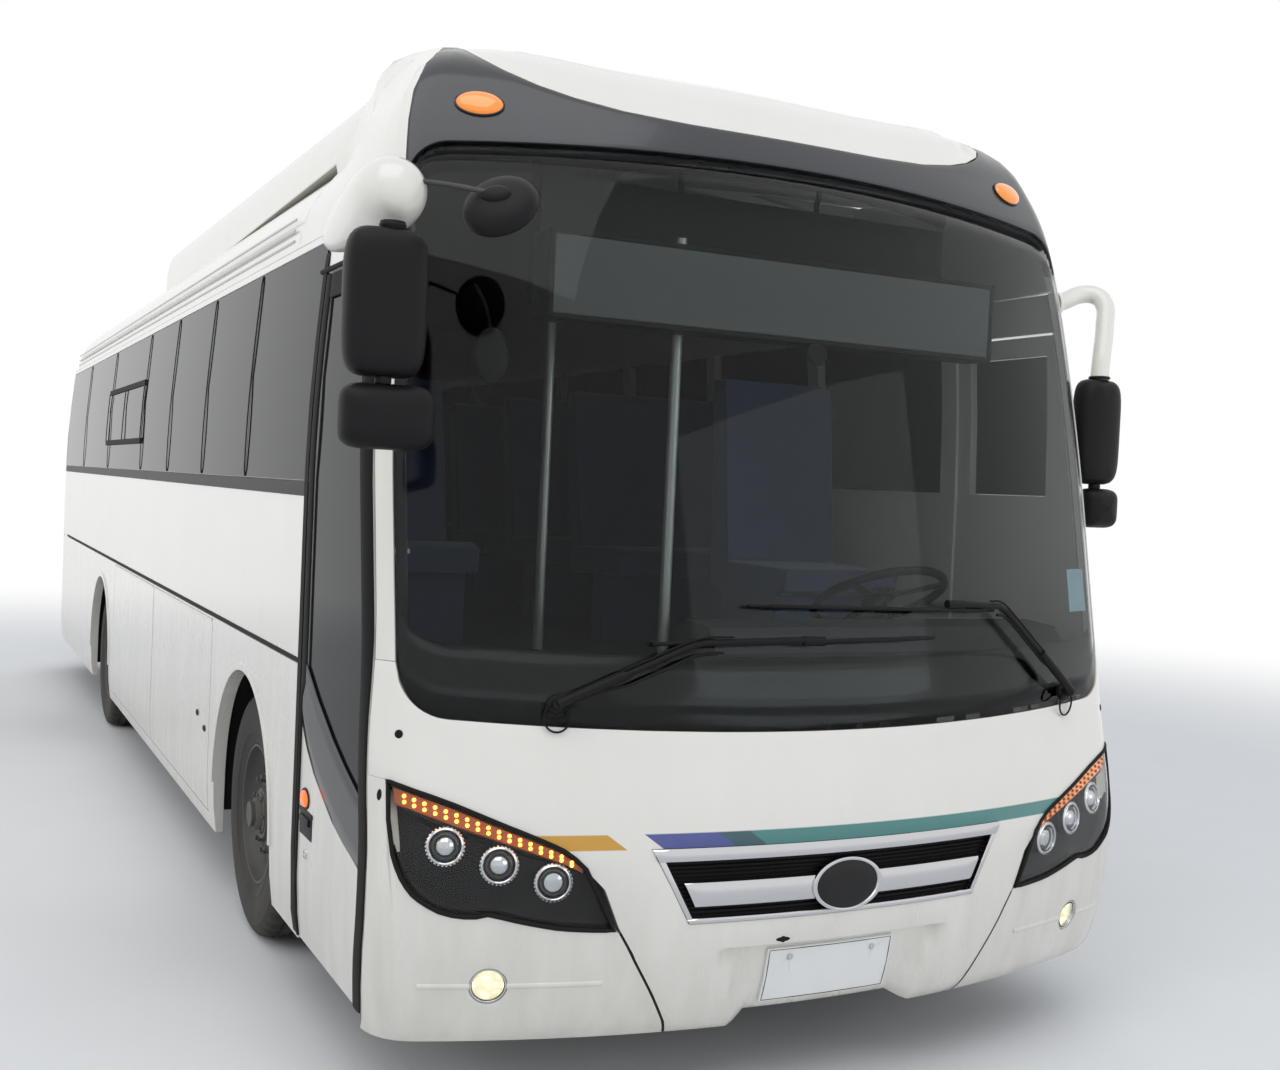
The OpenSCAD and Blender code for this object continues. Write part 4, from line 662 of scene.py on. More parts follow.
def screen_half(edge, low_t, high_t, n, back):
    half = []
    for s in SCREEN_S:
        low, high = screen_low(s, -edge), screen_high(s, -edge)
        share = s * (glass_edge(SCREEN_Z) - edge) / EDGE_S
        half.append([(share * glass_edge(z) / EDGE_S, z, back)
                     for z in steps(lerp(low, high, low_t), lerp(low, high, high_t), n)])
    return both_sides(half)


PRINT_LOW, PRINT_HIGH, PRINT_COLS, PRINT_BACK = 0.122, 0.972, 4, 10.5
SCREEN_THICK, PRINT_THICK = 0.006, 0.003
screen = panel("windscreen_glass", screen_half(1.5, 0, 1, 16, 3), 0.0, edge=0)
thicken(screen, SCREEN_THICK)
settle(screen, "root", screen_glass, ["windscreen"])
last = 2 * (len(SCREEN_S) - 1)
prints = [panel("print", screen_half(4, low, high, rows, PRINT_BACK), 0, keep, edge=0)
          for low, high, rows, keep in ((0, PRINT_LOW, 4, None), (PRINT_HIGH, 1, 1, None),
                                        (PRINT_LOW, PRINT_HIGH, 12, lambda i, j:
                                         i < PRINT_COLS or i >= last - PRINT_COLS))]
border = join("screen_border", *prints)
thicken(border, PRINT_THICK)
settle(border, "root", black_gloss)

# %% [markdown]
# ## Brow
# The dark grey panel above the glass ends in a curved line, and above it the pale crown shows like a
# crescent. A power curve gives that line, which is flat in the middle and rises fast at the sides.

# %% Brow, up to the pale crescent of the crown
CROWN_LOW, CROWN_TIP, TIP_S, TIP_POWER = SEAM_Z + 92, CROWN - 60, 930, 3.6


def crown_edge(s):
    return lerp(CROWN_LOW, CROWN_TIP, (min(s, TIP_S) / TIP_S)**TIP_POWER)


def brow_edge(z):
    return glass_edge(z) + GAP


brow_half = []
for s in SCREEN_S:
    u = s / EDGE_S
    low, high = screen_high(u * (EDGE_S + GAP), GAP), crown_edge(u * brow_edge(CROWN_TIP))
    brow_half.append([(u * brow_edge(z), z, 0) for z in steps(low, high, 10)])
brow = panel("brow_skin", both_sides(brow_half), SHELL, edge=0.002)
settle(brow, "root", brow_paint, ["brow"])

# %% [markdown]
# ## Panels that keep their solid
# Where the CAD solid has the right form it stays: a copy is merged, its edges get a small bevel, it
# is smoothed by angle, and weighted normals keep its flat faces flat. The shoulders of the roof are
# fuller on the real bus than in CAD, so points of the cap and the pod are drawn outwards there.

# %% Copies of solids, and the fuller shoulders
SOLID_MERGE, SMOOTHEST, NORMAL_WEIGHT = 0.00005, 32, 60


def copied(solid, name):
    obj = nodes[solid].copy()
    obj.data = nodes[solid].data.copy()
    obj.name = obj.data.name = name
    obj.parent = None
    for key in list(obj.keys()):
        del obj[key]
    scene.collection.objects.link(obj)
    obj.hide_render = obj.hide_viewport = False
    return outward(obj, SOLID_MERGE)


def body_of(solid):
    for body, members in frame["record"]["behaviour"]["bodies"].items():
        if solid in members:
            return body
    return "root"


GAIN, SHOULDER, WIDEST, RISE, ROOF_TOP = 1.18, 0.875, 1.2, 0.026, 2.984
FOOT_DROP, FOOT_FROM_Y, FOOT_UP_TO, FOOT_OUT = 0.1, -3.18, 2.75, 0.86


def fuller(obj):
    """Widens the shoulders of cap and pod and lowers the pod's foot; all in metres."""
    set_place(obj)
    for v in obj.data.vertices:
        x, y, z = v.co
        a, share = abs(x), ease(y, -3.92, 0.45) * ease(z, 2.64, 0.08)
        past = min(1, (a - SHOULDER) / (WIDEST - SHOULDER))
        wide = a * GAIN if a < SHOULDER else lerp(SHOULDER * GAIN, WIDEST, past)
        rise = RISE * ease(a, 0.45, 0.3) * ease(z, 2.8, 0.06)
        v.co.x = math.copysign(lerp(a, max(a, wide), share), x)
        v.co.z = min(ROOF_TOP, z + share * rise) if z < ROOF_TOP else z
        if y > FOOT_FROM_Y and z < FOOT_UP_TO and a > FOOT_OUT:
            v.co.z = z - FOOT_DROP


def kept(solid, material, width=0.002, angle=SMOOTHEST, segments=2, shape=None):
    """The CAD solid with a soft edge and a finish."""
    obj = copied(solid, solid + "_skin")
    if shape:
        shape(obj)
    soften(obj, width, angle, segments)
    add_modifier(obj, "WEIGHTED_NORMAL", keep_sharp=True, weight=NORMAL_WEIGHT)
    return settle(obj, body_of(solid), material, [solid])


kept("front_cap", paint, 0.0015, 34, shape=fuller)
kept("a_pillars", paint, 0.002, 34)
for solid in ("side_wall_right", "side_wall_left", "roof", "cab_side", "rear_panel", "rear_cap", "rear_bumper",
              "door_panel", "flap_right_front", "flap_right_rear", "flap_left_front", "flap_left_rear",
              "engine_lid"):
    kept(solid, paint, 0.002)
kept("roof_pod", paint, 0.010, 30, 3, shape=fuller)
for solid in ("side_windows", "rear_window", "door_glass"):
    kept(solid, tinted, 0.0012)

# %% [markdown]
# ## Turned parts, tubes and blocks
# Lamps, hubs and screws are turned forms: a grid is wrapped round an axis after a profile of radius
# and height. Hoses, seals and outlines are a bevelled curve made into a mesh. What repeats is
# modelled once and copied.

# %% Helpers for such parts and for places on the nose
MERGE, STRIP_THICK = 0.00002, 0.003


def nose_frame(s, z, out=0.0):
    """Matrix of a place on the nose: +Z outward, +X along the arc, +Y up."""
    n = (laid(s, z, -10) - laid(s, z, 0)).normalized()
    x = Vector((0, 0, 1)).cross(n).normalized()
    return axes(x, n.cross(x), n, laid(s, z, -out))


def turned(name, profile, segments=48, matrix=None, smooth=32, squash=(1, 1)):
    """Grid wrapped round Z: the profile holds (radius, height) in mm."""
    rows = len(profile) - 1
    obj = grid(name, segments, rows)
    for v in obj.data.vertices:
        a = (v.co.x + 1) * math.pi
        r, h = profile[round((v.co.y + 1) / 2 * rows)]
        v.co = (r * math.cos(a) * squash[0] / 1000, r * math.sin(a) * squash[1] / 1000, h / 1000)
    outward(obj, MERGE)
    if matrix:
        set_place(obj, matrix)
    soften(obj, 0, smooth)
    return obj


def tube(name, points, radius, cyclic=False, smooth=False, sides=3):
    """A round bar or seal along scene points, in metres."""
    data = bpy.data.curves.new(name, "CURVE")
    data.dimensions, data.bevel_depth, data.bevel_resolution = "3D", radius, sides
    data.use_fill_caps = True
    kind = "BEZIER" if smooth else "POLY"
    line = data.splines.new(kind)
    if smooth:
        line.bezier_points.add(len(points) - 1)
        for b, p in zip(line.bezier_points, points):
            b.co, b.handle_left_type, b.handle_right_type = p, "AUTO", "AUTO"
    else:
        line.points.add(len(points) - 1)
        for b, p in zip(line.points, points):
            b.co = (*p, 1)
    line.use_cyclic_u = cyclic
    data.resolution_u = 8
    obj = bpy.data.objects.new(name, data)
    scene.collection.objects.link(obj)
    choose(obj)
    bpy.ops.object.convert(target="MESH")
    obj = bpy.context.object
    soften(obj, 0, 50)
    return obj


def block(name, low, high, bevel=0.004, segments=3):
    """A box between two corners in metres, with soft edges."""
    bpy.ops.mesh.primitive_cube_add(size=1, location=[(a + b) / 2 for a, b in zip(low, high)])
    obj = bpy.context.object
    obj.name = obj.data.name = name
    obj.scale = [b - a for a, b in zip(low, high)]
    soften(set_place(obj), bevel, 30, segments)
    return obj


def copies(obj, name, matrices, spare=False):
    """The form again at each matrix, as one piece; the pattern itself goes, unless it is spare."""
    made = []
    for m in matrices:
        choose(obj)
        bpy.ops.object.duplicate()
        made.append(set_place(bpy.context.object, m))
    if not spare:
        bpy.data.objects.remove(obj)
    return join(name, *made)


def spread(at, count, radius, height, first=0.0):
    """Matrices of so many even places round the axis of a part."""
    out = Matrix.Translation((radius, 0, height))
    return [at @ Matrix.Rotation(2 * math.pi * k / count + first, 4, "Z") @ out for k in range(count)]


def both_pieces(obj, name, material, replaced=()):
    twin = mirrored(obj, name + "_twin")
    return settle(join(name, obj, twin), "root", material, replaced)


print("helpers for lamps ready")

# %% [markdown]
# ## Bumper corners
# The corner under each headlamp is a panel of its own, with a shut line to the mask and a round
# opening for the fog lamp. The opening is cut with a Boolean, because its circle crosses the grid.

# %% Bumper corners, with a round opening for the fog lamp
FOG, FOG_R, LAMP_IN = (985, 383), 49, 660
ROUND_COLS = [1000, 1012, 1030, 1058, 1090, 1123, 1150, 1172, 1190, 1207, 1222, 1236, 1247]
CORNER_COLS = steps(LAMP_IN, 940, 7) + [975] + ROUND_COLS + [LAMP_OUT]
CORNER_V = [0, 0.03, 0.06, 0.1, 0.14, 0.2, 0.28, 0.37, 0.46, 0.58, 0.72, 0.86, 1]


def shut_line(z):
    return table_at([(row[0], row[2]) for row in MASK_ROWS], z)


def corner_column(k):
    n = len(CORNER_COLS) - 1
    high = lamp_top(LAMP_OUT) - GAP
    if k >= n:
        top = (lerp(LAMP_OUT + 4, mask_seal(high), (k - n) / 4), high)
    else:
        top = (CORNER_COLS[k] + SHUT * (1 - k / n), table_at(LAMP_LOW, CORNER_COLS[k]) - 2)
    col = []
    for v in CORNER_V:
        z = lerp(SILL - 30, top[1], v)
        low_s = lerp(shut_line(z) + SHUT, mask_seal(z), k / (n + 4))
        top_s = mask_seal(z) if k == n + 4 else top[0]
        col.append((shut_line(z) + SHUT if k == 0 else lerp(low_s, top_s, v), z, 0))
    return col


corner = panel("corner", [corner_column(k) for k in range(len(CORNER_COLS) + 4)], SHELL, edge=0)
bpy.ops.mesh.primitive_cylinder_add(vertices=96, radius=(FOG_R + GAP) / 1000, depth=0.12)
cutter = set_place(bpy.context.object, nose_frame(*FOG))
add_modifier(corner, "BOOLEAN", operation="DIFFERENCE", object=cutter, solver="EXACT")
bpy.data.objects.remove(cutter)
soften(corner, 0.003, 40)
both_pieces(corner, "bumper_corner_skins", paint, ["bumper_corners"])

# %% [markdown]
# ## Headlamp bowls and covers
# Behind the clear cover lies a black bowl with a ledge along its upper edge. Bowl, cover and outline
# are laid between the same two edges, so they meet mask and bumper corner with an even gap.

# %% Headlamp bowls, their black outline and their cover
LAMP_BACK, COVER_THICK, COVER_BULGE = 40, 0.003, 4.2
LAMP_S = steps(LAMP_IN, 960, 9) + [985] + ROUND_COLS + [LAMP_OUT - 3]


def lamp_point(s, v, back):
    """A point of the lamp: s along it, v from its lower to its upper edge."""
    low_s = s + (SHUT + 4 if s == LAMP_S[0] else 0)
    top_s = lerp(SHUT_TOP + SHUT + 4, LAMP_OUT - 2, (s - LAMP_IN) / (LAMP_OUT - LAMP_IN))
    low_z = table_at(LAMP_LOW, low_s) + 3
    top_z = lamp_top(top_s) - 3
    return lerp(low_s, top_s, v), lerp(low_z, top_z, v), back


def lamp_cols(rows):
    return [[lamp_point(s, v, back) for v, back in rows] for s in LAMP_S]


bowl = panel("headlamp_bowl", lamp_cols([(0, 6), (0.03, 34), (0.12, LAMP_BACK), (0.4, LAMP_BACK + 2),
                                         (0.72, LAMP_BACK), (0.76, 22), (0.78, 14), (1, 8)]), 0.004, edge=0.002)
both_pieces(bowl, "headlamp_bowls", black_plastic, ["headlamps"])
rim_line = ([lamp_point(s, 0, 1) for s in LAMP_S] + [lamp_point(LAMP_S[-1], v, 1) for v in (0.35, 0.7)] +
            [lamp_point(s, 1, 1) for s in LAMP_S[::-1]] + [lamp_point(LAMP_S[0], v, 1) for v in (0.7, 0.35)])
rim = tube("headlamp_outline", [laid(s, z, back) for s, z, back in rim_line], 0.0065, True)
both_pieces(rim, "headlamp_outlines", rubber)
cover = panel("headlamp_cover", lamp_cols([(v, 5 - COVER_BULGE * math.sin(math.pi * v)**0.5)
                                           for v in (0, 0.06, 0.15, 0.3, 0.5, 0.7, 0.85, 0.94, 1)]), 0, edge=0)
thicken(cover, COVER_THICK)
both_pieces(cover, "headlamp_covers", clear)

# %% [markdown]
# ## Amber strips
# Along the upper edge of each lamp runs a strip with two rows of small diodes. It is lit on the door
# side only, so the two sides get different finishes. One diode is modelled and copied along the strip.

# %% Amber strips with their diodes
STRIP_LOW = [(751, 669), (801, 692), (868, 716), (955, 746), (1041, 774), (1127, 804), (1204, 830), (1258, 842)]


def strip_point(s, v, back):
    return s, lerp(table_at(STRIP_LOW, s), lamp_top(s) - 11, v), back


STRIP_ROWS = ((0, 16), (0.12, 10), (0.9, 8), (1, 12))
strip = panel("indicator_strip", [[strip_point(s, v, back) for v, back in STRIP_ROWS]
                                  for s in steps(762, 1246, 24)], 0.002, edge=0)
settle(mirrored(strip, "indicator_strip_right"), "root", indicator_lens)
settle(strip, "root", amber_lens)
bpy.ops.mesh.primitive_uv_sphere_add(segments=10, ring_count=6, radius=0.0052)
seed = bpy.context.object
soften(seed, 0, 60)
spots = [nose_frame(*strip_point(s, v, 0)[:2], -8) for s in steps(790, 1215, 16) for v in (0.36, 0.68)]
diodes = copies(seed, "diode_row", spots)
settle(mirrored(diodes, "diodes_right"), "root", amber_glow)
settle(diodes, "root", indicator_lens)

# %% [markdown]
# ## Round lamp units
# Three units stand in a row in each lamp: a bright ring with teeth, a reflector, a projector in its
# collar and a lens in front. The first one is turned with few segments, which gives it the cut
# facets of the real one.

# %% Toothed bright ring, reflector and lens of each unit
LAMPS, LAMP_SINK = [(835, 649), (975, 695), (1112, 742)], -21
RING = [(49, 0), (49, 5), (47, 8), (43, 10), (40.5, 8), (40, 3), (40, -14), (43, -16), (49, -16), (49, 0)]
BOWL = [(40, 1), (37, -3), (31, -10), (22, -16), (13, -19), (13, -26), (0, -26)]
COLLAR = [(34, -8), (34, 1), (30.5, 3), (27.5, 1), (27, -12)]
FLAT_DOME = [(27, -2), (24, 2), (16, 4.5), (8, 5.6), (0, 6)]
DOME = [(27, -6), (25, 2), (19, 8), (10, 11.5), (0, 12.5)]
LENS = [(40, 4), (34, 8), (22, 11), (10, 12.6), (0, 13)]
TOOTH_HALF, TOOTH_R, TOOTH_H, TEETH = (0.00225, 0.00275, 0.0035), 0.0488, 0.0035, 30
LENS_OUT, LENS_THICK = 0.002, 0.0015
rings, bowls, lenses, domes, collars = [], [], [], [], []
for k, (s, z) in enumerate(LAMPS):
    at = nose_frame(s, z, LAMP_SINK)
    cut = k == 0
    tooth = block("tooth", [-half for half in TOOTH_HALF], TOOTH_HALF, 0.001, 1)
    teeth = copies(tooth, "teeth", spread(at, TEETH, TOOTH_R, TOOTH_H))
    rings += [turned("ring", RING, 64, at), teeth]
    bowls.append(turned("bowl", BOWL, 20 if cut else 48, at, 8 if cut else 32))
    collars.append(turned("collar", COLLAR, 48, at))
    domes.append(turned("dome", FLAT_DOME if cut else DOME, 14 if cut else 48, at, 6 if cut else 40))
    lenses.append(turned("lens", LENS, 48, at @ Matrix.Translation((0, 0, LENS_OUT))))
    thicken(lenses[-1], LENS_THICK)
both_pieces(join("unit_rings", *rings), "lamp_rings", chrome, ["lamp_units"])
both_pieces(join("unit_bowls", *bowls), "lamp_reflectors", reflector)
both_pieces(join("unit_collars", *collars), "lamp_collars", steel)
both_pieces(join("unit_domes", *domes), "lamp_projectors", reflector)
both_pieces(join("unit_lenses", *lenses), "lamp_lenses", clear)

# %% [markdown]
# ## Seals and fog lamps
# A dark rubber seal shows in the gap between mask and bumper corner. It is a tube that follows the
# edge of the mask, a few millimetres inside the surface.

# %% Dark seal in the shut line between mask and bumper corners
seal_way = []
for (za, _, sa), (zb, _, sb) in zip(MASK_ROWS[:5], MASK_ROWS[1:6]):
    seal_way += [laid(lerp(sa, sb, t) + SHUT / 2, lerp(za, zb, t), 4) for t in steps(0, 1, 4)[:-1]]
both_pieces(tube("shut_seal", seal_way, 0.0042), "shut_seals", rubber)

# %% [markdown]
# The fog lamps are turned: a ring, a bulb and a lens. They are lit, and their cut glass breaks the
# light into cells, so a Voronoi pattern varies how strongly the bulb glows. The pressed line beside
# each is a painted bar that stands a little out of the panel.

# %% Fog lamps and pressed lines of the bumper corners
at = nose_frame(*FOG, -8)
fog_ring = turned("fog_ring", [(49, -26), (49, 2), (46.5, 5), (43, 5), (41, 2), (40, -10)], 64, at)
fog_glow = turned("fog_glow", [(40, -7), (36, -9), (24, -13), (17, -13), (14, -6), (9, -1), (0, 1)], 48, at)
fog_lens = turned("fog_lens", [(42, 1), (34, 5), (20, 8), (8, 9), (0, 9)], 48, at)
thicken(fog_lens, 0.002)
both_pieces(fog_ring, "fog_rings", chrome)
both_pieces(fog_glow, "fog_bulbs", warm_glow)
both_pieces(fog_lens, "fog_lenses", clear)
lines = [tube("groove", [laid(s, FOG[1], 5) for s in steps(a, b, 12)], 0.009, sides=6)
         for a, b in ((690, 938), (1032, 1165))]
both_pieces(join("groove_lines", *lines), "bumper_grooves", paint)
CELLS_PER_M, MIDDLE, BRIGHT, DIM = 62, 0.65, 1.15, 0.35
glow = warm_glow.node_tree
cells = node(glow, "TexVoronoi", {"Vector": glow.nodes["Texture Coordinate"].outputs["Object"],
                                  "Scale": CELLS_PER_M})
level = node(glow, "MapRange", {"Value": cells.outputs["Distance"], "From Max": MIDDLE, "To Min": BRIGHT,
                                "To Max": DIM})
glow.links.new(level.outputs[0], glow.nodes["Principled BSDF"].inputs["Emission Strength"])

# %% [markdown]
# ## Grille
# The grille has a broad bright upper rail, thin rails at its sides and foot, a wide bar across a dark
# mesh and an oval ring in the middle. The ring is bare. Every rail is a strip of the nose's own
# surface, raised by a few millimetres, so that it follows the curve of the bus.

# %% Rails, bar, mesh and the bare oval
def grille_half(z):
    return lerp(GRILLE_LOW, GRILLE_TOP, (z - GRILLE_Z) / GRILLE_H) - GAP - 0.5


LO, HI = GRILLE_Z + GAP, GRILLE_Z + GRILLE_H - GAP


def rail(name, rows, f0, f1, depth, n=24, edge=0.002):
    return panel(name, [[(lerp(f0, f1, k / n) * grille_half(z), z, back) for z, back in rows]
                        for k in range(n + 1)], depth, edge=edge)


rails = [rail("rail_top", [(HI - 36, 0), (HI - 33, -4), (HI - 20, -7), (HI - 5, -6), (HI, -2)], -1, 1, 0.016),
         rail("rail_low", [(LO, -1), (LO + 4, -5), (LO + 11, -5), (LO + 15, -1)], -1, 1, 0.016),
         rail("rail_left", [(LO + 13, -3.5), (HI - 32, -3.5)], 0.968, 1, 0.014, 2),
         rail("rail_right", [(LO + 13, -3.5), (HI - 32, -3.5)], -1, -0.968, 0.014, 2)]
frame_rails = join("grille_rails", *rails)
bar = rail("bar", [(LO + 42, 4), (LO + 46, -2), (LO + 54, -5), (LO + 100, -5), (LO + 108, -2), (LO + 112, 4)],
           -0.925, 0.925, 0.012, 24, 0.0015)
settle(join("grille_chrome", frame_rails, bar), "root", chrome, ["grille"])
backing = rail("backing", [(LO + 6, 16), (HI - 20, 16)], -0.985, 0.985, 0.004, 24, 0)
slats = [rail("slat", [(z, 15), (z + 3, 9), (z + 5, 15)], -0.975, 0.975, 0.001, 24, 0)
         for z in [LO + 18 + 11 * k for k in range(15)]]
settle(join("grille_mesh", backing, *slats), "root", black_plastic)
at, squash = nose_frame(0, LO + 80, 4), (1.1, 0.72)
HOOP = [(100, -8), (104, -2), (103, 4), (98, 6), (92, 5), (89, 1), (89, -8)]
oval = turned("oval_ring", HOOP, 72, at, 40, squash)
plate_disc = turned("oval_disc", [(90, 0), (84, 1.5), (50, 3), (0, 3.6)], 72, at, 40, squash)
settle(oval, "root", chrome)
settle(plate_disc, "root", black_gloss)

# %% [markdown]
# ## Number plate
# The plate keeps its flat solid and stays blank, with only the thin dark line round its edge and two
# dished screws, which sit where such plates have them.

# %% Number plate with its line and screws
low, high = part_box("number_plate")
kept("number_plate", plate_white, 0.001)
PLATE_FACE, LINE_X, LINE_Z, SCREW_X, SCREW_Z = HOLLOW - 0.3 - 8, 203, (267, 423), 137.5, 399


def on_plate(s, z):
    return laid(s, z, PLATE_FACE - 0.1)


line = [(-LINE_X, LINE_Z[0]), (LINE_X, LINE_Z[0]), (LINE_X, LINE_Z[1]), (-LINE_X, LINE_Z[1])]
around = [(lerp(a[0], b[0], t), lerp(a[1], b[1], t)) for a, b in zip(line, line[1:] + line[:1])
          for t in (0, 0.25, 0.5, 0.75)]
settle(tube("plate_line", [on_plate(s, z) for s, z in around], 0.0009, True), "root", rubber)
WASHER = [(9, 0), (9, 1.2), (8.4, 1.7), (5.8, 1.7), (5.8, 3.8), (4.8, 5), (0, 5.3)]
screws = [turned("washer", WASHER, 32, nose_frame(s, SCREW_Z, -PLATE_FACE + 0.2)) for s in (-SCREW_X, SCREW_X)]
settle(join("plate_screws", *screws), "root", chrome)
print("number plate", [round(c, 4) for c in (*low, *high)])

# %% [markdown]
# ## Small fittings of the mask
# A slot cover sits under the grille, and plugs close the small holes beside the lamps. Each is a low
# turned form, squashed where the real one is oval.

# %% Slot cover, round plugs and oval plugs
slot_at = nose_frame(-189, 472, 0.3)
slot_bar = turned("slot", [(0, 0.4), (21, 0.4), (22, -2)], 24, slot_at, 40, (1.0, 0.3))
slot_disc = turned("slot_disc", [(0, 0.8), (8.5, 0.8), (9, -2)], 24, slot_at)
plugs = [turned("plug", [(0, 1.6), (9, 1.4), (11, 0.4), (11.5, -2)], 28, nose_frame(s, 1014, 0.3))
         for s in (-1222, 1222)]
ovals = [turned("oval_plug", [(0, 1.2), (9, 1.0), (11, -2)], 28, nose_frame(s, 858, 0.3), 40, (0.8, 1.45))
         for s in (-1288, 1288)]
settle(join("slot_cover", slot_bar, slot_disc, *ovals), "root", rubber)
settle(join("mask_plugs", *plugs), "root", rubber)

# %% [markdown]
# ## Mirrors
# The mirror housings are rounded boxes with a deep domed front and a bright pane at the back. A grid
# is wrapped into rings of a rounded outline, which gives the soft front that a bevelled box lacks.

# %% Mirror housings
REACH, OUTLINE_POINTS, ROUNDING = 1415, 72, 5
RINGS = [(0, None), (0, 76), (1.5, 54), (5, 36), (11, 22), (20, 11), (33, 4), (50, 0.5), (66, 0), (82, 2),
         (89, 5), (92, 9), (92, 13), (87.5, 14)]


def housing(name, place, width, height, side, rings=RINGS):
    """Rings of a rounded outline, front to back; None closes the front to a point."""
    rows = len(rings) - 1
    obj = grid(name, OUTLINE_POINTS, rows)
    for v in obj.data.vertices:
        a = (v.co.x + 1) * math.pi
        depth, inset = rings[round((v.co.y + 1) / 2 * rows)]
        c, s = math.cos(a), math.sin(a)
        w = h = 0
        if inset is not None:
            k = (abs(c)**ROUNDING + abs(s)**ROUNDING)**(1 / ROUNDING)
            w, h = (width / 2 - inset) / k, (height / 2 - inset) / k
        v.co = to_scene(Vector((side * (place[0] + w * c), place[1] + depth, place[2] + h * s)))
    soften(outward(obj, MERGE), 0, 40)
    return obj


def mm(x, y, z):
    return to_scene(Vector((x, y, z)))


MIRRORS = {-1: [(100, 2077, 203, 356), (104, 1807, 234, 158)],
           1: [(480, 1930, 172, 362), (472, 1668, 140, 136)]}
PANE = [(88, None), (88, 14), (89.5, 16), (89.5, None)]
NECK_RING, NECK_R, POST_BACK, POST_IN = [(19, -8), (20, -4), (20, 4), (19, 8), (0, 8)], 0.011, 50, 20
shells, panes, necks = [], [], []
for side, pair in MIRRORS.items():
    for y, z, width, height in pair:
        place = (REACH - width / 2, y, z)
        shells.append(housing("housing", place, width, height, side))
        panes.append(housing("pane", place, width, height, side, PANE))
    (y, z, w, h), (_, z2, _, h2) = pair
    x, y, top, foot = side * (REACH - w / 2), y + POST_BACK, z - h / 2, z2 + h2 / 2
    necks.append(tube("neck", [mm(x, y, top + POST_IN), mm(x, y, foot - POST_IN)], NECK_R))
    necks.append(turned("neck_ring", NECK_RING, 32, Matrix.Translation(mm(x, y, (top + foot) / 2))))
settle(join("mirror_housings", *shells, *necks), "root", black_plastic,
       ["mirror_right", "mirror_left"])
settle(join("mirror_panes", *panes), "root", reflector)

# %% [markdown]
# ## Mirror arms
# The right mirror hangs under a white teardrop and the left one on a bent white arm. The teardrop is
# turned round its long axis, and the arm is a smooth curve with a round section.

# %% Teardrop on the right, bent arm on the left
def along(place, axis):
    """Matrix of a place whose +Z points along the axis."""
    z = Vector(axis).normalized()
    return Matrix.Translation(place) @ z.to_track_quat("Z", "Y").to_matrix().to_4x4()


DROP = [(0, 0), (14, 4), (24, 16), (36, 50), (44, 90), (54, 150), (62, 220), (71, 300), (79, 390), (85, 470),
        (89, 540), (89.5, 590), (86, 635), (78, 668), (64, 694), (45, 711), (24, 719), (0, 722)]
ARM = [(1216, 655, 2370), (1262, 652, 2386), (1330, 642, 2414), (1368, 616, 2412), (1382, 588, 2385),
       (1368, 562, 2300), (1340, 540, 2190), (1330, 535, 2110)]
drop = turned("mirror_teardrop", DROP, 64, along(mm(-1268, 870, 2318), (-17, -720, 44)), 50)
arm = tube("mirror_arm", [mm(*p) for p in ARM], 0.031, smooth=True, sides=10)
foot = turned("mirror_foot", [(44, 0), (44, 12), (40, 20), (34, 26), (0, 26)], 48,
              along(mm(1211, 655, 2370), (1, 0, 0.1)))
settle(join("mirror_arms", drop, arm, foot), "root", paint)
seals = [turned("seal", [(34, -5), (37, 0), (34, 5), (0, 5)], 40, Matrix.Translation(mm(1330, 535, 2116))),
         turned("seal", [(30, -10), (33, 0), (30, 10), (0, 10)], 40, Matrix.Translation(mm(-1300, 165, 2262)))]

# %% [markdown]
# ## Round mirror over the windscreen
# A dish with a domed back looks down in front of the bus. It is turned, has an oval pad in the middle
# of its back, and a thin rod with a slight sag holds it.

# %% Dish, pad and rod
dish_at, dish_axis, rod_at = mm(-1050, 100, 2322), Vector((-0.56, -0.61, 0.56)), mm(-1262, 210, 2385)
DISH = [(0, 1), (84, 1), (88, 0), (93, 1), (96, 6), (95, 13), (90, 24), (82, 33), (70, 41), (54, 47.5),
        (36, 51.5), (16, 53.5), (0, 54)]
PAD = [(34, 49), (33, 56), (28, 61), (18, 65), (0, 66)]
dish = turned("dish", DISH, 72, along(dish_at, dish_axis), 50)
pad = turned("pad", PAD, 40, along(dish_at, dish_axis), 50, (1.15, 0.75))
end = dish_at + dish_axis * 0.052
rod = tube("rod", [rod_at, lerp(rod_at, end, 0.5) + Vector((0, 0, 0.004)), end], 0.0065, smooth=True)
settle(join("dish_mirror", dish, pad, *seals), "root", black_plastic)
settle(rod, "root", steel)

# %% [markdown]
# ## Marker lamps
# Two low oval lamps sit on the brow, each an amber dome in a flat black base. A round form is turned
# and squashed to the oval, which keeps its rim even.

# %% Marker lamps on the brow
MARK_S, MARK_Z = (-950, 950), 2705
MARK_FOOT = [(70, 0), (70, 3), (67, 4.5), (62, 4.5)]
MARK_DOME = [(66, 0), (65, 5), (61, 10), (53, 14.5), (42, 18), (26, 20.4), (10, 21), (0, 21)]
domes = [turned("marker", MARK_DOME, 64, nose_frame(s, MARK_Z, 0.4), 40, (1, 0.62)) for s in MARK_S]
settle(join("marker_domes", *domes), "root", amber_lens, ["marker_lamps"])
bases = [turned("base", MARK_FOOT, 64, nose_frame(s, MARK_Z, 0.3), 40, (1, 0.64)) for s in MARK_S]
settle(join("marker_bases", *bases), "root", black_gloss)

# %% [markdown]
# ## Wipers
# Each wiper has a hub, an arm with an elbow and a thin stay beside it, and a blade on yokes, with a
# washer hose that lies along the arm and makes a loop at the hub. All are tubes whose points keep
# their distance over the bowed glass, so that nothing dips into it.

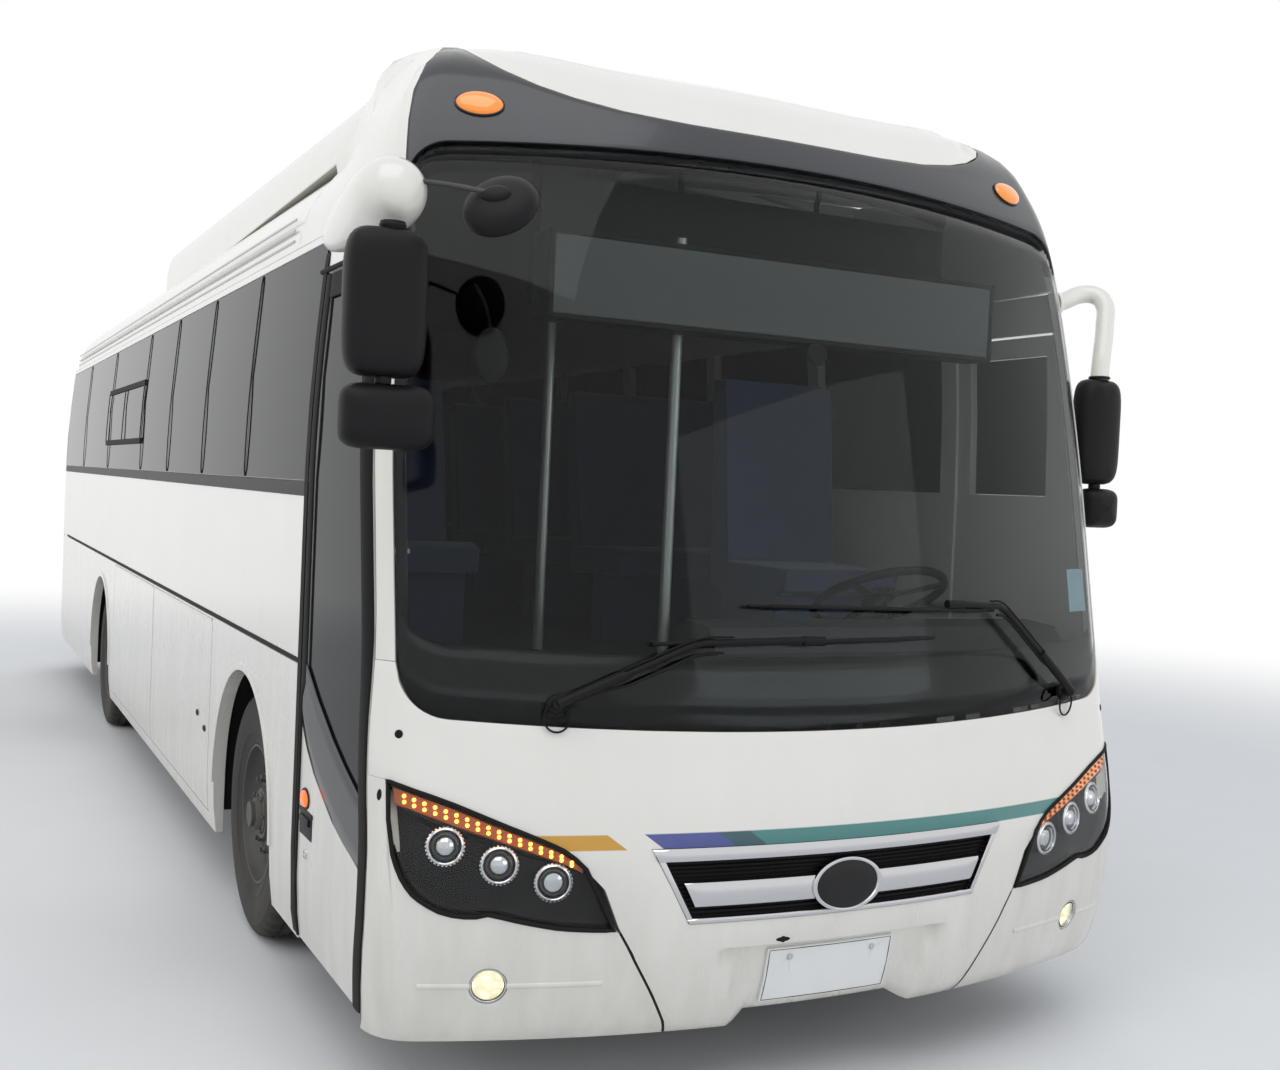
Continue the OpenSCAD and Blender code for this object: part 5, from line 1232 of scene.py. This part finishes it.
# %% Wipers: hub, elbow, arm's end, blade from, blade to, as (s, z)
WIPERS = (((-820, 1096), (-441, 1255), (-92, 1264), (-557, 1253), (347, 1267)),
          ((948, 1082), (627, 1351), (425, 1363), (-278, 1357), (608, 1342)))
HUB = [(26, 0), (26, 10), (22, 16), (15, 18), (15, 36), (12, 42), (0, 43)]


HUB_OUT, ARM_OUT, ARM_SINKS, STAY_OUT, HOSE_OUT = 40, 38, 6, 33, 42
SPINE_OUT, CARRIER_OUT, RUBBER_OUT, YOKE_HALF, YOKES = 27, 16, 9, 0.035, 6
LOOP_SIDE, LOOP_UP, LOOP_OUT, LOOP_TILT = 34, 36, 16, 8


def over_glass(s, z, out):
    """A point so far out over the glass, in mm."""
    return laid(s, z, -out)


parts, rubbers = [], []
for (hs, hz), (es, ez), (rs, rz), (b0, z0), (b1, z1) in WIPERS:
    parts.append(turned("hub", HUB, 32, nose_frame(hs, hz, 2)))
    way = [(lerp(hs, es, t), lerp(hz, ez, t)) for t in steps(0, 0.94, 10)]
    way += [(lerp(es, rs, t), lerp(ez, rz, t)) for t in steps(0.06, 1, 8)]
    parts.append(tube("arm", [over_glass(s, z, ARM_OUT - ARM_SINKS * k / 18)
                              for k, (s, z) in enumerate(way)], 0.0095))
    parts.append(tube("arm", [over_glass(s, z, HUB_OUT) for s, z in way[:6]], 0.014))
    parts.append(tube("stay", [over_glass(s + 12, z - 26 * min(1, k / 3), STAY_OUT)
                               for k, (s, z) in enumerate(way[2:13])], 0.0045))

    def on_blade(t, out):
        return over_glass(lerp(b0, b1, t), lerp(z0, z1, t), out)

    parts.append(tube("spine", [on_blade(t, SPINE_OUT) for t in steps(0.07, 0.93, 20)], 0.0062))
    parts.append(tube("carrier", [on_blade(t, CARRIER_OUT) for t in steps(0, 1, 24)], 0.0052))
    for t in steps(0.08, 0.92, YOKES):
        parts.append(tube("yoke", [on_blade(t - YOKE_HALF, CARRIER_OUT), on_blade(t, SPINE_OUT),
                                   on_blade(t + YOKE_HALF, CARRIER_OUT)], 0.0045))
    parts.append(tube("clip", [over_glass(rs - 30, rz - 2, 30), over_glass(rs + 34, rz - 4, 34)], 0.013))
    rubbers.append(tube("lip", [on_blade(t, RUBBER_OUT) for t in steps(0, 1, 24)], 0.0042))
    rubbers.append(tube("hose", [over_glass(s, z + 13, HOSE_OUT) for s, z in way[1:15:2]], 0.003,
                        smooth=True))
    loop = [over_glass(hs + LOOP_SIDE * math.sin(a), hz - 34 + LOOP_UP * math.cos(a),
                       LOOP_OUT + LOOP_TILT * math.cos(a)) for a in steps(0, 2 * math.pi, 24)[:-1]]
    rubbers.append(tube("loop", loop, 0.0028, cyclic=True))
settle(join("wiper_arms", *parts), "root", black_plastic, ["wipers"])
settle(join("wiper_rubbers", *rubbers), "root", rubber)

# %% [markdown]
# ## Door trim
# The door leaf has broad rubber seals, which show as black uprights, and a dark band whose two edges
# curve up towards the back. Both are laid on the side's surface from tables that were measured at a
# few places, and they ride with the leaf.

# %% Seals and band of the door
DOOR_FRONT, DOOR_REAR, DOOR_TOP, DOOR_LOW, STILE, BEND_END = 440, 1112, 2260, SILL + 15, 70, 700
WIDE_FROM, WIDE_SEAL, NARROW_SEAL, TOP_SEAL = 1000, 58, 24, 74
BAND_LOW = [(440, 636), (492, 650), (593, 670), (700, 699), (815, 744), (918, 788), (1013, 848), (1091, 925)]
BAND_HIGH = [(440, 826), (594, 876), (718, 922), (904, 1010), (1091, 1118)]
BAND_ROWS = ((0, 0.3), (0.015, -1.3), (0.25, -1.5), (0.5, -1.5), (0.75, -1.5), (0.985, -1.3), (1, 0.3))
SEAL_ROWS = ((0, -0.3), (0.03, 0.6), (0.14, 1), (0.5, 1.15), (0.86, 1), (0.97, 0.6), (1, -0.3))


def door_place(y, z):
    """The s of a point of the leaf, which bends round the corner in its front part."""
    if y >= BEND_END:
        return side_s(y, z)
    share = (y - DOOR_FRONT) / (BEND_END - DOOR_FRONT)
    return lerp(seal_edge(z) + STILE - 5, side_s(BEND_END, z), share)


def on_door(s, z, back):
    return laid(-s, z, back)


def door_strip(edges, rise=3.0):
    """A rounded strip: edges hold (s from, s to, z) along its length."""
    cols = [[(lerp(a, b, u), z, -rise * h) for a, b, z in edges] for u, h in SEAL_ROWS]
    return outward(panel("seal", cols, STRIP_THICK, edge=0, place=on_door))


heights = steps(DOOR_LOW + 2, DOOR_TOP - 2, 44)
front_seal = door_strip([(seal_edge(z) + 6, seal_edge(z) + STILE - 1, z) for z in heights])
rear_seal = door_strip([(side_s(DOOR_REAR - (WIDE_SEAL if z > WIDE_FROM else NARROW_SEAL), z),
                         side_s(DOOR_REAR - 10, z), z) for z in heights])
top_seal = door_strip([(seal_edge(z) + STILE - 4, side_s(DOOR_REAR - 54, z), z)
                       for z in steps(DOOR_TOP - TOP_SEAL, DOOR_TOP - 3, 6)], 2)
settle(join("door_seals", front_seal, rear_seal, top_seal), "door", rubber)

band_cols = []
for y in steps(DOOR_FRONT, DOOR_REAR - 22, 30):
    low, high = table_at(BAND_LOW, y), table_at(BAND_HIGH, y)
    band_cols.append([(door_place(y, lerp(low, high, t)), lerp(low, high, t), back) for t, back in BAND_ROWS])
low_band = outward(panel("door_band", band_cols, 0.002, edge=0, place=on_door))
settle(low_band, "door", black_gloss)

# %% [markdown]
# ## Lamp, handle and lock of the door
# Under the band sit a lit oval marker lamp in a black base, a sunk pull handle and a small lock. The
# handle is three soft blocks: its dish, the lip over it and the grip that stands free.

# %% Places on a side wall, then the door's small parts
def on_side(y, z, out=0.0, side=-1):
    """Matrix of a place on a side wall: +Z outward, +Y up."""
    return axes((0, side, 0), (0, 0, 1), (side, 0, 0), to_scene(Vector((side * (curve(SIDE, z) + out), y, z))))


DOOR_LENS, MARKER = [(40, -2), (40, 3), (38, 7), (32, 10), (20, 12), (0, 12.5)], on_side(1012, 700)
LOCK = [(15, -1), (15, 3), (13, 4.5), (4, 4.5), (3.4, 2.5), (0, 2.5)]
settle(turned("lens", DOOR_LENS, 48, MARKER, 45, (1, 0.62)), "door", marker_lit)
base = turned("lens_base", [(48, -2), (48, 2), (46, 4), (30, 4)], 48, MARKER, 45, (1, 0.66))
sunk = block("handle_dish", (-1.2472, -3.825, 0.588), (-1.2400, -3.680, 0.664), 0.003)
lip = block("handle_lip", (-1.2490, -3.829, 0.655), (-1.2400, -3.676, 0.668), 0.003)
grip = block("handle_grip", (-1.2545, -3.805, 0.628), (-1.2460, -3.700, 0.650), 0.0035)
settle(join("door_handle", base, sunk, lip, grip), "door", black_plastic)
settle(turned("door_lock", LOCK, 32, on_side(989, 540), 40), "door", chrome)

# %% [markdown]
# ## Trim along the side
# Over the door runs a gutter, behind it stands a gasket, and along the wall go the waist strip, a
# pressed groove, the joints between the panes, the frame of the slide pane and fine ribs under the
# roof. The groove is a black strip, painted shade in place of its own shadow, and the ribs are grey
# as painted shade of their relief. All are long strips that follow the wall's own curve, so tall ones
# have rows in between.

# %% Gutter, gasket, waist strip, groove, joints, slide frame, ribs and flap locks
def side_strip(y0, y1, z0, z1, out, side=-1, n=12):
    rows = [(0, -1)] + [(t, out) for t in steps(0.03, 0.97, 10 if z1 - z0 > 200 else 1)] + [(1, -1)]
    cols = [[(y, lerp(z0, z1, t), h) for t, h in rows] for y in steps(y0, y1, n)]
    return outward(panel("strip", cols, STRIP_THICK, edge=0, place=lambda y, z, h:
                         to_scene(Vector((side * (curve(SIDE, z) + h), y, z)))))


REAR_STOP, GROOVE_END, RIB_FROM, RIB_TO = BODY_LEN - 330, 8900, 1640, BODY_LEN - 560
WAIST, GROOVE, PANES, JOINTS = (1597, 1637), (1087, 1097), (1645, 2366), (2080, 2980, 3925, 4860, 6370, 7850)
SLIDE_Z, SLIDE_Y = (1800, 2115), (4900, 5690, 6480)
gutter = tube("gutter", [laid(-s, DOOR_TOP + 16, -3) for s in
                         steps(seal_edge(DOOR_TOP) - 30, side_s(DOOR_REAR + 60, DOOR_TOP), 16)], 0.008)
gasket = side_strip(DOOR_REAR + 3, DOOR_REAR + 44, DOOR_LOW, 2330, 2.0, n=2)
waists = [side_strip(DOOR_REAR + 48, REAR_STOP, *WAIST, 1.6), side_strip(700, REAR_STOP, *WAIST, 1.6, 1)]
# Pressed groove: a black strip, painted shade of the groove.
groove_shadow_strips = [side_strip(DOOR_REAR + 48, GROOVE_END, *GROOVE, 0.8), side_strip(600, GROOVE_END, *GROOVE, 0.8, 1)]
bars = [side_strip(y - 14, y + 14, *SLIDE_Z, 3.5, n=1) for y in SLIDE_Y]
bars += [side_strip(SLIDE_Y[0], SLIDE_Y[-1], z - 13, z + 13, 3.5, n=2) for z in SLIDE_Z]
joints = [side_strip(y - 6, y + 6, *PANES, 1.2, side, 1) for y in JOINTS for side in (-1, 1)]
ribs = [side_strip(RIB_FROM, RIB_TO, z, z + h, 0.5, side, 24)
        for z, h in ((2432, 3), (2468, 4), (2506, 3)) for side in (-1, 1)]
settle(join("side_trim", gutter, gasket, *groove_shadow_strips, *bars, *joints), "root", rubber)
# The ribs' grey finish is painted shade of their relief.
settle(join("roof_ribs", *ribs), "root", crease_shade)
settle(join("waist_strips", *waists), "root", black_plastic)
locks = [turned("lock", [(26, -1), (26, 2), (23, 4), (12, 4), (10, 2), (0, 2)], 32, on_side(y, z), 40, (1, 0.5))
         for y, z in ((2867, 659), (2701, 621))]
settle(join("flap_locks", *locks), "flap_right_front", black_plastic)

# %% [markdown]
# ## Wheels
# One tyre is turned with its grooves, its shoulder blocks are cut by drawing in points at even
# angles, and it is copied to every place, twice behind for the twin tyres. The rims keep their solids.

# %% Tyres with grooves and shoulder blocks
TREAD = [(247, 105), (250, 112), (261, 114), (272, 117), (290, 122), (292, 123.5), (296, 123.5), (298, 122.5),
         (330, 126), (341, 127), (352, 127), (384, 124.5), (386, 125.5), (390, 125), (392, 123.5), (405, 120),
         (418, 113), (426, 104), (431, 96), (433.5, 74), (434, 70), (424, 69), (424, 59), (434.4, 58),
         (434.8, 24), (424.5, 23), (424.5, 13), (435, 12)]
BLOCKS, CUT_SHARE, CUT_R, CUT_WIDTH = 42, 0.27, 0.4, 0.0565
TOP_R, TOP_CUT, SIDE_WIDTH, SIDE_CUT = 0.43, 0.009, 0.115, 0.006
FRONT_Y, REAR_Y, AXLE_Z, TRACK, TWIN = -2.775, 1.725, 0.435, 1.0695, 0.7695
tyre = turned("tyre", TREAD + [(r, -h) for r, h in TREAD[::-1]], 168, None, 28)
for v in tyre.data.vertices:
    x, y, h = v.co
    r = math.hypot(x, y)
    part = (math.degrees(math.atan2(y, x)) % 360) / 360 * BLOCKS % 1
    if r > CUT_R and abs(h) > CUT_WIDTH and part < CUT_SHARE:
        k = 1 - (TOP_CUT if r > TOP_R else SIDE_CUT if abs(h) < SIDE_WIDTH else 0.0) / r
        v.co.x, v.co.y = x * k, y * k


def axle_at(side, y, track=TRACK):
    return along(Vector((side * track, y, AXLE_Z)), (side, 0, 0))


for tag, side in (("right", -1), ("left", 1)):
    for body, piece, solid, y, tracks in (
            ("wheel_front_", "tread_front_%s_0", "tyre_front_", FRONT_Y, [TRACK]),
            ("wheel_rear_", "tread_rear_%s", "tyres_rear_", REAR_Y, [TRACK, TWIN])):
        treads = copies(tyre, piece % tag, [axle_at(side, y, track) for track in tracks], True)
        settle(treads, body + tag, tyre_rubber, [solid + tag])
    for solid in ("rim_front_", "rims_rear_"):
        # The rims' near-black finish holds painted shade of the wheel arch.
        kept(solid + tag, rim_paint, 0.002)
bpy.data.objects.remove(tyre)

# %% [markdown]
# ## Nuts, hubs and valves
# Ten nuts, a turned hub cap with six bolts and a straight valve sit in each outer wheel. They ride
# on the wheel's own body, so they spin with it. The rear hub reaches out further from its deep rim.

# %% Nuts, hubs and valves
NUT = [(17, 0), (17, 4), (14.5, 5), (14.5, 19), (12, 22), (9, 22), (8.6, 30), (7, 32), (0, 32)]
BOLT = [(8, 0), (8, 5), (6, 6.5), (0, 6.5)]
FRONT_CAP = [(74, 94), (74, 99), (70, 101), (60, 101), (57, 116), (50, 123), (20, 125.5), (0, 126)]
REAR_CAP = [(82, -44), (82, -30), (80, -28), (66, -28), (64, 20), (60, 26), (30, 28), (0, 28)]
NUTS, NUT_CIRCLE, FIRST_NUT, BOLTS = 10, 0.134, math.radians(18), 6
VALVE_X, VALVE_Y, VALVE_R = 0.205, 0.02, 0.004
nut = turned("nut", NUT, 6, None, 25)
for tag, side in (("right", -1), ("left", 1)):
    for end, y, nut_face, bolt_r, valve_way, cap in (
            ("front", FRONT_Y, 0.066, 0.066, (0.03, 0.075), FRONT_CAP),
            ("rear", REAR_Y, -0.086, 0.073, (-0.07, 0.0), REAR_CAP)):
        at = axle_at(side, y)
        nuts = copies(nut, "nuts", spread(at, NUTS, NUT_CIRCLE, nut_face, FIRST_NUT), True)
        bolts = [turned("hub_bolt", BOLT, 12, m) for m in spread(at, BOLTS, bolt_r, cap[3][1] / 1000)]
        valve = tube("valve", [at @ Vector((VALVE_X, VALVE_Y, h)) for h in valve_way], VALVE_R)
        settle(join("hub_%s_%s" % (end, tag), nuts, turned("hub", cap, 56, at, 35), valve, *bolts),
               "wheel_%s_%s" % (end, tag), steel)
bpy.data.objects.remove(nut)

# %% [markdown]
# ## Behind the glass
# The sign over the windscreen is an unlit field of dots without any lettering, drawn by a Voronoi
# texture whose cells are all alike. Its case is a block with four thin lips round the field.

# %% The sign and its dots
SIGN_X, SIGN_LOW, SIGN_TOP, SIGN_Y, CASE_Y, LIP = 0.757, 2.135, 2.351, -4.3, -4.18, 0.015
OUT_X, OUT_LOW, OUT_TOP = SIGN_X + LIP, SIGN_LOW - LIP, SIGN_TOP + LIP
dots = finish("sign_dots", (0.1, 0.105, 0.105), 0.35, vary=0.0)
t = dots.node_tree
cells = node(t, "TexVoronoi", {"Vector": t.nodes["Texture Coordinate"].outputs["Object"], "Scale": 78,
                               "Randomness": 0.0})
shade = node(t, "MapRange", {"Value": cells.outputs["Distance"], "From Min": 0.3, "From Max": 0.36,
                             "To Min": 1.0, "To Max": 0.0})
t.links.new(blended(t, shade.outputs[0], (0.05, 0.053, 0.054, 1), (0.34, 0.35, 0.34, 1)),
            t.nodes["Principled BSDF"].inputs["Base Color"])
field = block("sign_field", (-SIGN_X, SIGN_Y - 0.0015, SIGN_LOW), (SIGN_X, SIGN_Y + 0.0005, SIGN_TOP),
              0.0005, 1)
settle(field, "root", dots)
case = [block("sign_case", (-OUT_X, SIGN_Y + 0.001, OUT_LOW), (OUT_X, CASE_Y, OUT_TOP), 0.006)]
case += [block("lip", (-OUT_X, SIGN_Y - 0.004, z), (OUT_X, SIGN_Y + 0.002, z + LIP), 0.002)
         for z in (OUT_LOW, SIGN_TOP)]
case += [block("lip", (x, SIGN_Y - 0.004, OUT_LOW), (x + LIP, SIGN_Y + 0.002, OUT_TOP), 0.002)
         for x in (-OUT_X, SIGN_X)]

# %% [markdown]
# ## Small things on the inside of the glass
# A round sensor in the middle, an oval mirror on a bent stem and a pale sticker, which is bare. They
# stand just behind the pane, and the sticker is a thin sheet laid on its surface.

# %% Sensor, oval mirror and sticker
INNER_MIRROR = [(0, 14), (30, 13), (52, 9), (62, 2), (63, -4), (58, -10), (30, -20), (0, -22)]
SENSOR = [(0, 0), (30, 0), (34, -3), (34, -9), (28, -14), (0, -15)]
sensor = turned("sensor", SENSOR, 40, nose_frame(6, 2076, -13))
inside = nose_frame(-955, 2023, -90)
oval = turned("oval", INNER_MIRROR, 48, inside, 45, (0.75, 1.25))
stem = tube("stem", [inside @ Vector(p) for p in ((0, 0.07, -0.01), (-0.02, 0.15, -0.02), (-0.05, 0.2, -0.01))],
            0.006, smooth=True)
settle(join("screen_fittings", sensor, oval, stem, *case), "root", black_plastic)
sticker = panel("bare_sticker", [[(s, z, 10.4) for z in steps(1330, 1466, 4)] for s in steps(1062, 1170, 6)],
                0.0004, edge=0)
settle(sticker, "root", sticker_blue)

# %% [markdown]
# ## The cabin and the tail lamps
# Seats, dashboard and sign box show only dimly through the glass, so their solids stay, with edges
# rounded as far as padding and mouldings are. The tail lamps get the same soft edge.

# %% Seats, dashboard, sign box and tail lamps
for solid, material, slot, width in (
        ("seats_left", seat_cloth, "seat_cloth", 0.012), ("seats_right", seat_cloth, "seat_cloth", 0.012),
        ("driver_seat", seat_cloth, "seat_cloth", 0.012), ("dashboard", dash_plastic, "trim_dark", 0.008),
        ("sign_box", black_plastic, "trim_dark", 0.003), ("tail_lamps", red_lens, "red_lens", 0.004)):
    kept(solid, material, width)

# %% [markdown]
# ## Parts that stay as they are
# What is plain in form, or seen only from below and through glass, keeps its CAD solid and only gets
# a finish.

# %% Finishes of the plain parts
PLAIN = [(steel, "chassis_frame engine_block front_axle rear_axle knuckle_left knuckle_right"),
         (black_plastic, "arch_liners steering_wheel sign_box wipers mirror_right mirror_left"),
         (floor_vinyl, "floor entrance_steps"), (seat_cloth, "driver_seat seats_right seats_left"),
         (pole_paint, "door_arm grab_rails"), (lining, "luggage_bay"), (dash_plastic, "dashboard"),
         (black_gloss, "headlamps"), (reflector, "lamp_units"), (chrome, "grille"),
         (plate_white, "number_plate"), (amber_lens, "marker_lamps"), (red_lens, "tail_lamps")]
FINISH_OF = {solid: material for material, solids in PLAIN for solid in solids.split()}
for solid, obj in nodes.items():
    material = FINISH_OF.get(solid) or (tyre_rubber if solid.startswith("tyre") else
                                        rim_paint if solid.startswith("rim") else paint)
    obj.data.materials.clear()
    obj.data.materials.append(material)
    choose(obj)
    bpy.ops.object.shade_smooth_by_angle(angle=math.radians(30))
print("finished", len(nodes), "frame parts")

# %% [markdown]
# ## Floor
# A plain pale floor takes the shadow of the bus. Further out it fades into plain white light, so that
# no horizon shows behind the bus.

# %% The floor, which fades to white
FADE_FROM, FADE_TO, FLOOR_SIZE = 5.5, 13.0, 120
ground = min(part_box(n)[0].z for n in nodes if n.startswith("tyre"))
bpy.ops.mesh.primitive_plane_add(size=FLOOR_SIZE, location=(0, 0, ground))
ground_plane = bpy.context.object
ground_plane.name = "studio_floor"
floor_material = finish("studio_floor", (0.86, 0.86, 0.85), 0.75, vary=0.02)
t = floor_material.node_tree
away = node(t, "VectorMath", {0: t.nodes["Texture Coordinate"].outputs["Object"]}, operation="LENGTH")
fade = node(t, "MapRange", {"Value": away.outputs["Value"], "From Min": FADE_FROM, "From Max": FADE_TO},
            interpolation_type="SMOOTHSTEP")
mixed = node(t, "MixShader", {"Fac": fade.outputs[0], 1: t.nodes["Principled BSDF"].outputs[0],
                              2: node(t, "Emission").outputs[0]})
t.links.new(mixed.outputs[0], t.nodes["Material Output"].inputs["Surface"])
ground_plane.data.materials.append(floor_material)
print("floor at", round(ground, 4))

# %% [markdown]
# ## Light and background
# Large soft lamps show the form without hard glare, and only the panel overhead is seen in gloss.
# The camera and reflections see a white background, while the light that falls on the paint comes
# from a softer, bluish sky.

# %% Lamps and sky
SKY_COLOR, SKY_STRENGTH = (0.86, 0.91, 1.0, 1), 0.55


def lamp(name, place, target, size, power, tint=(1, 1, 1), glossy=False):
    data = bpy.data.lights.new(name, "AREA")
    data.shape, data.size, data.size_y = "RECTANGLE", size[0], size[1]
    data.energy, data.color = power, tint
    obj = bpy.data.objects.new(name, data)
    scene.collection.objects.link(obj)
    aim = Vector(target) - Vector(place)
    obj.matrix_world = Matrix.Translation(place) @ aim.to_track_quat("-Z", "Y").to_matrix().to_4x4()
    obj.visible_glossy = glossy


lamp("sky_panel", (-4, -8, 11), (0, -1, 1), (12, 10), 540, (0.98, 0.99, 1), True)
lamp("side_panel", (-13, 1, 6), (0, 0, 1.4), (12, 6), 330, (1, 0.985, 0.96))
lamp("front_fill", (6, -14, 4), (0, -4, 1.2), (8, 5), 240, (0.96, 0.98, 1))
lamp("back_rim", (6, 12, 8), (0, 3, 1.5), (10, 6), 300)

world = bpy.data.worlds.new("studio")
scene.world = world
world.use_nodes = True
t = world.node_tree
t.nodes.clear()
rays = node(t, "LightPath").outputs
seen = node(t, "Math", {0: rays["Is Camera Ray"], 1: rays["Is Glossy Ray"]}, operation="ADD", use_clamp=True)
white = node(t, "Math", {0: seen.outputs[0], 1: rays["Is Transmission Ray"]}, operation="ADD", use_clamp=True)
sky = node(t, "Background", {"Color": SKY_COLOR, "Strength": SKY_STRENGTH})
backdrop = node(t, "Background", {"Color": WHITE, "Strength": 1.0})
mixed = node(t, "MixShader", {"Fac": white.outputs[0], 1: sky.outputs[0], 2: backdrop.outputs[0]})
node(t, "OutputWorld", {"Surface": mixed.outputs[0]})
print("light and background ready")
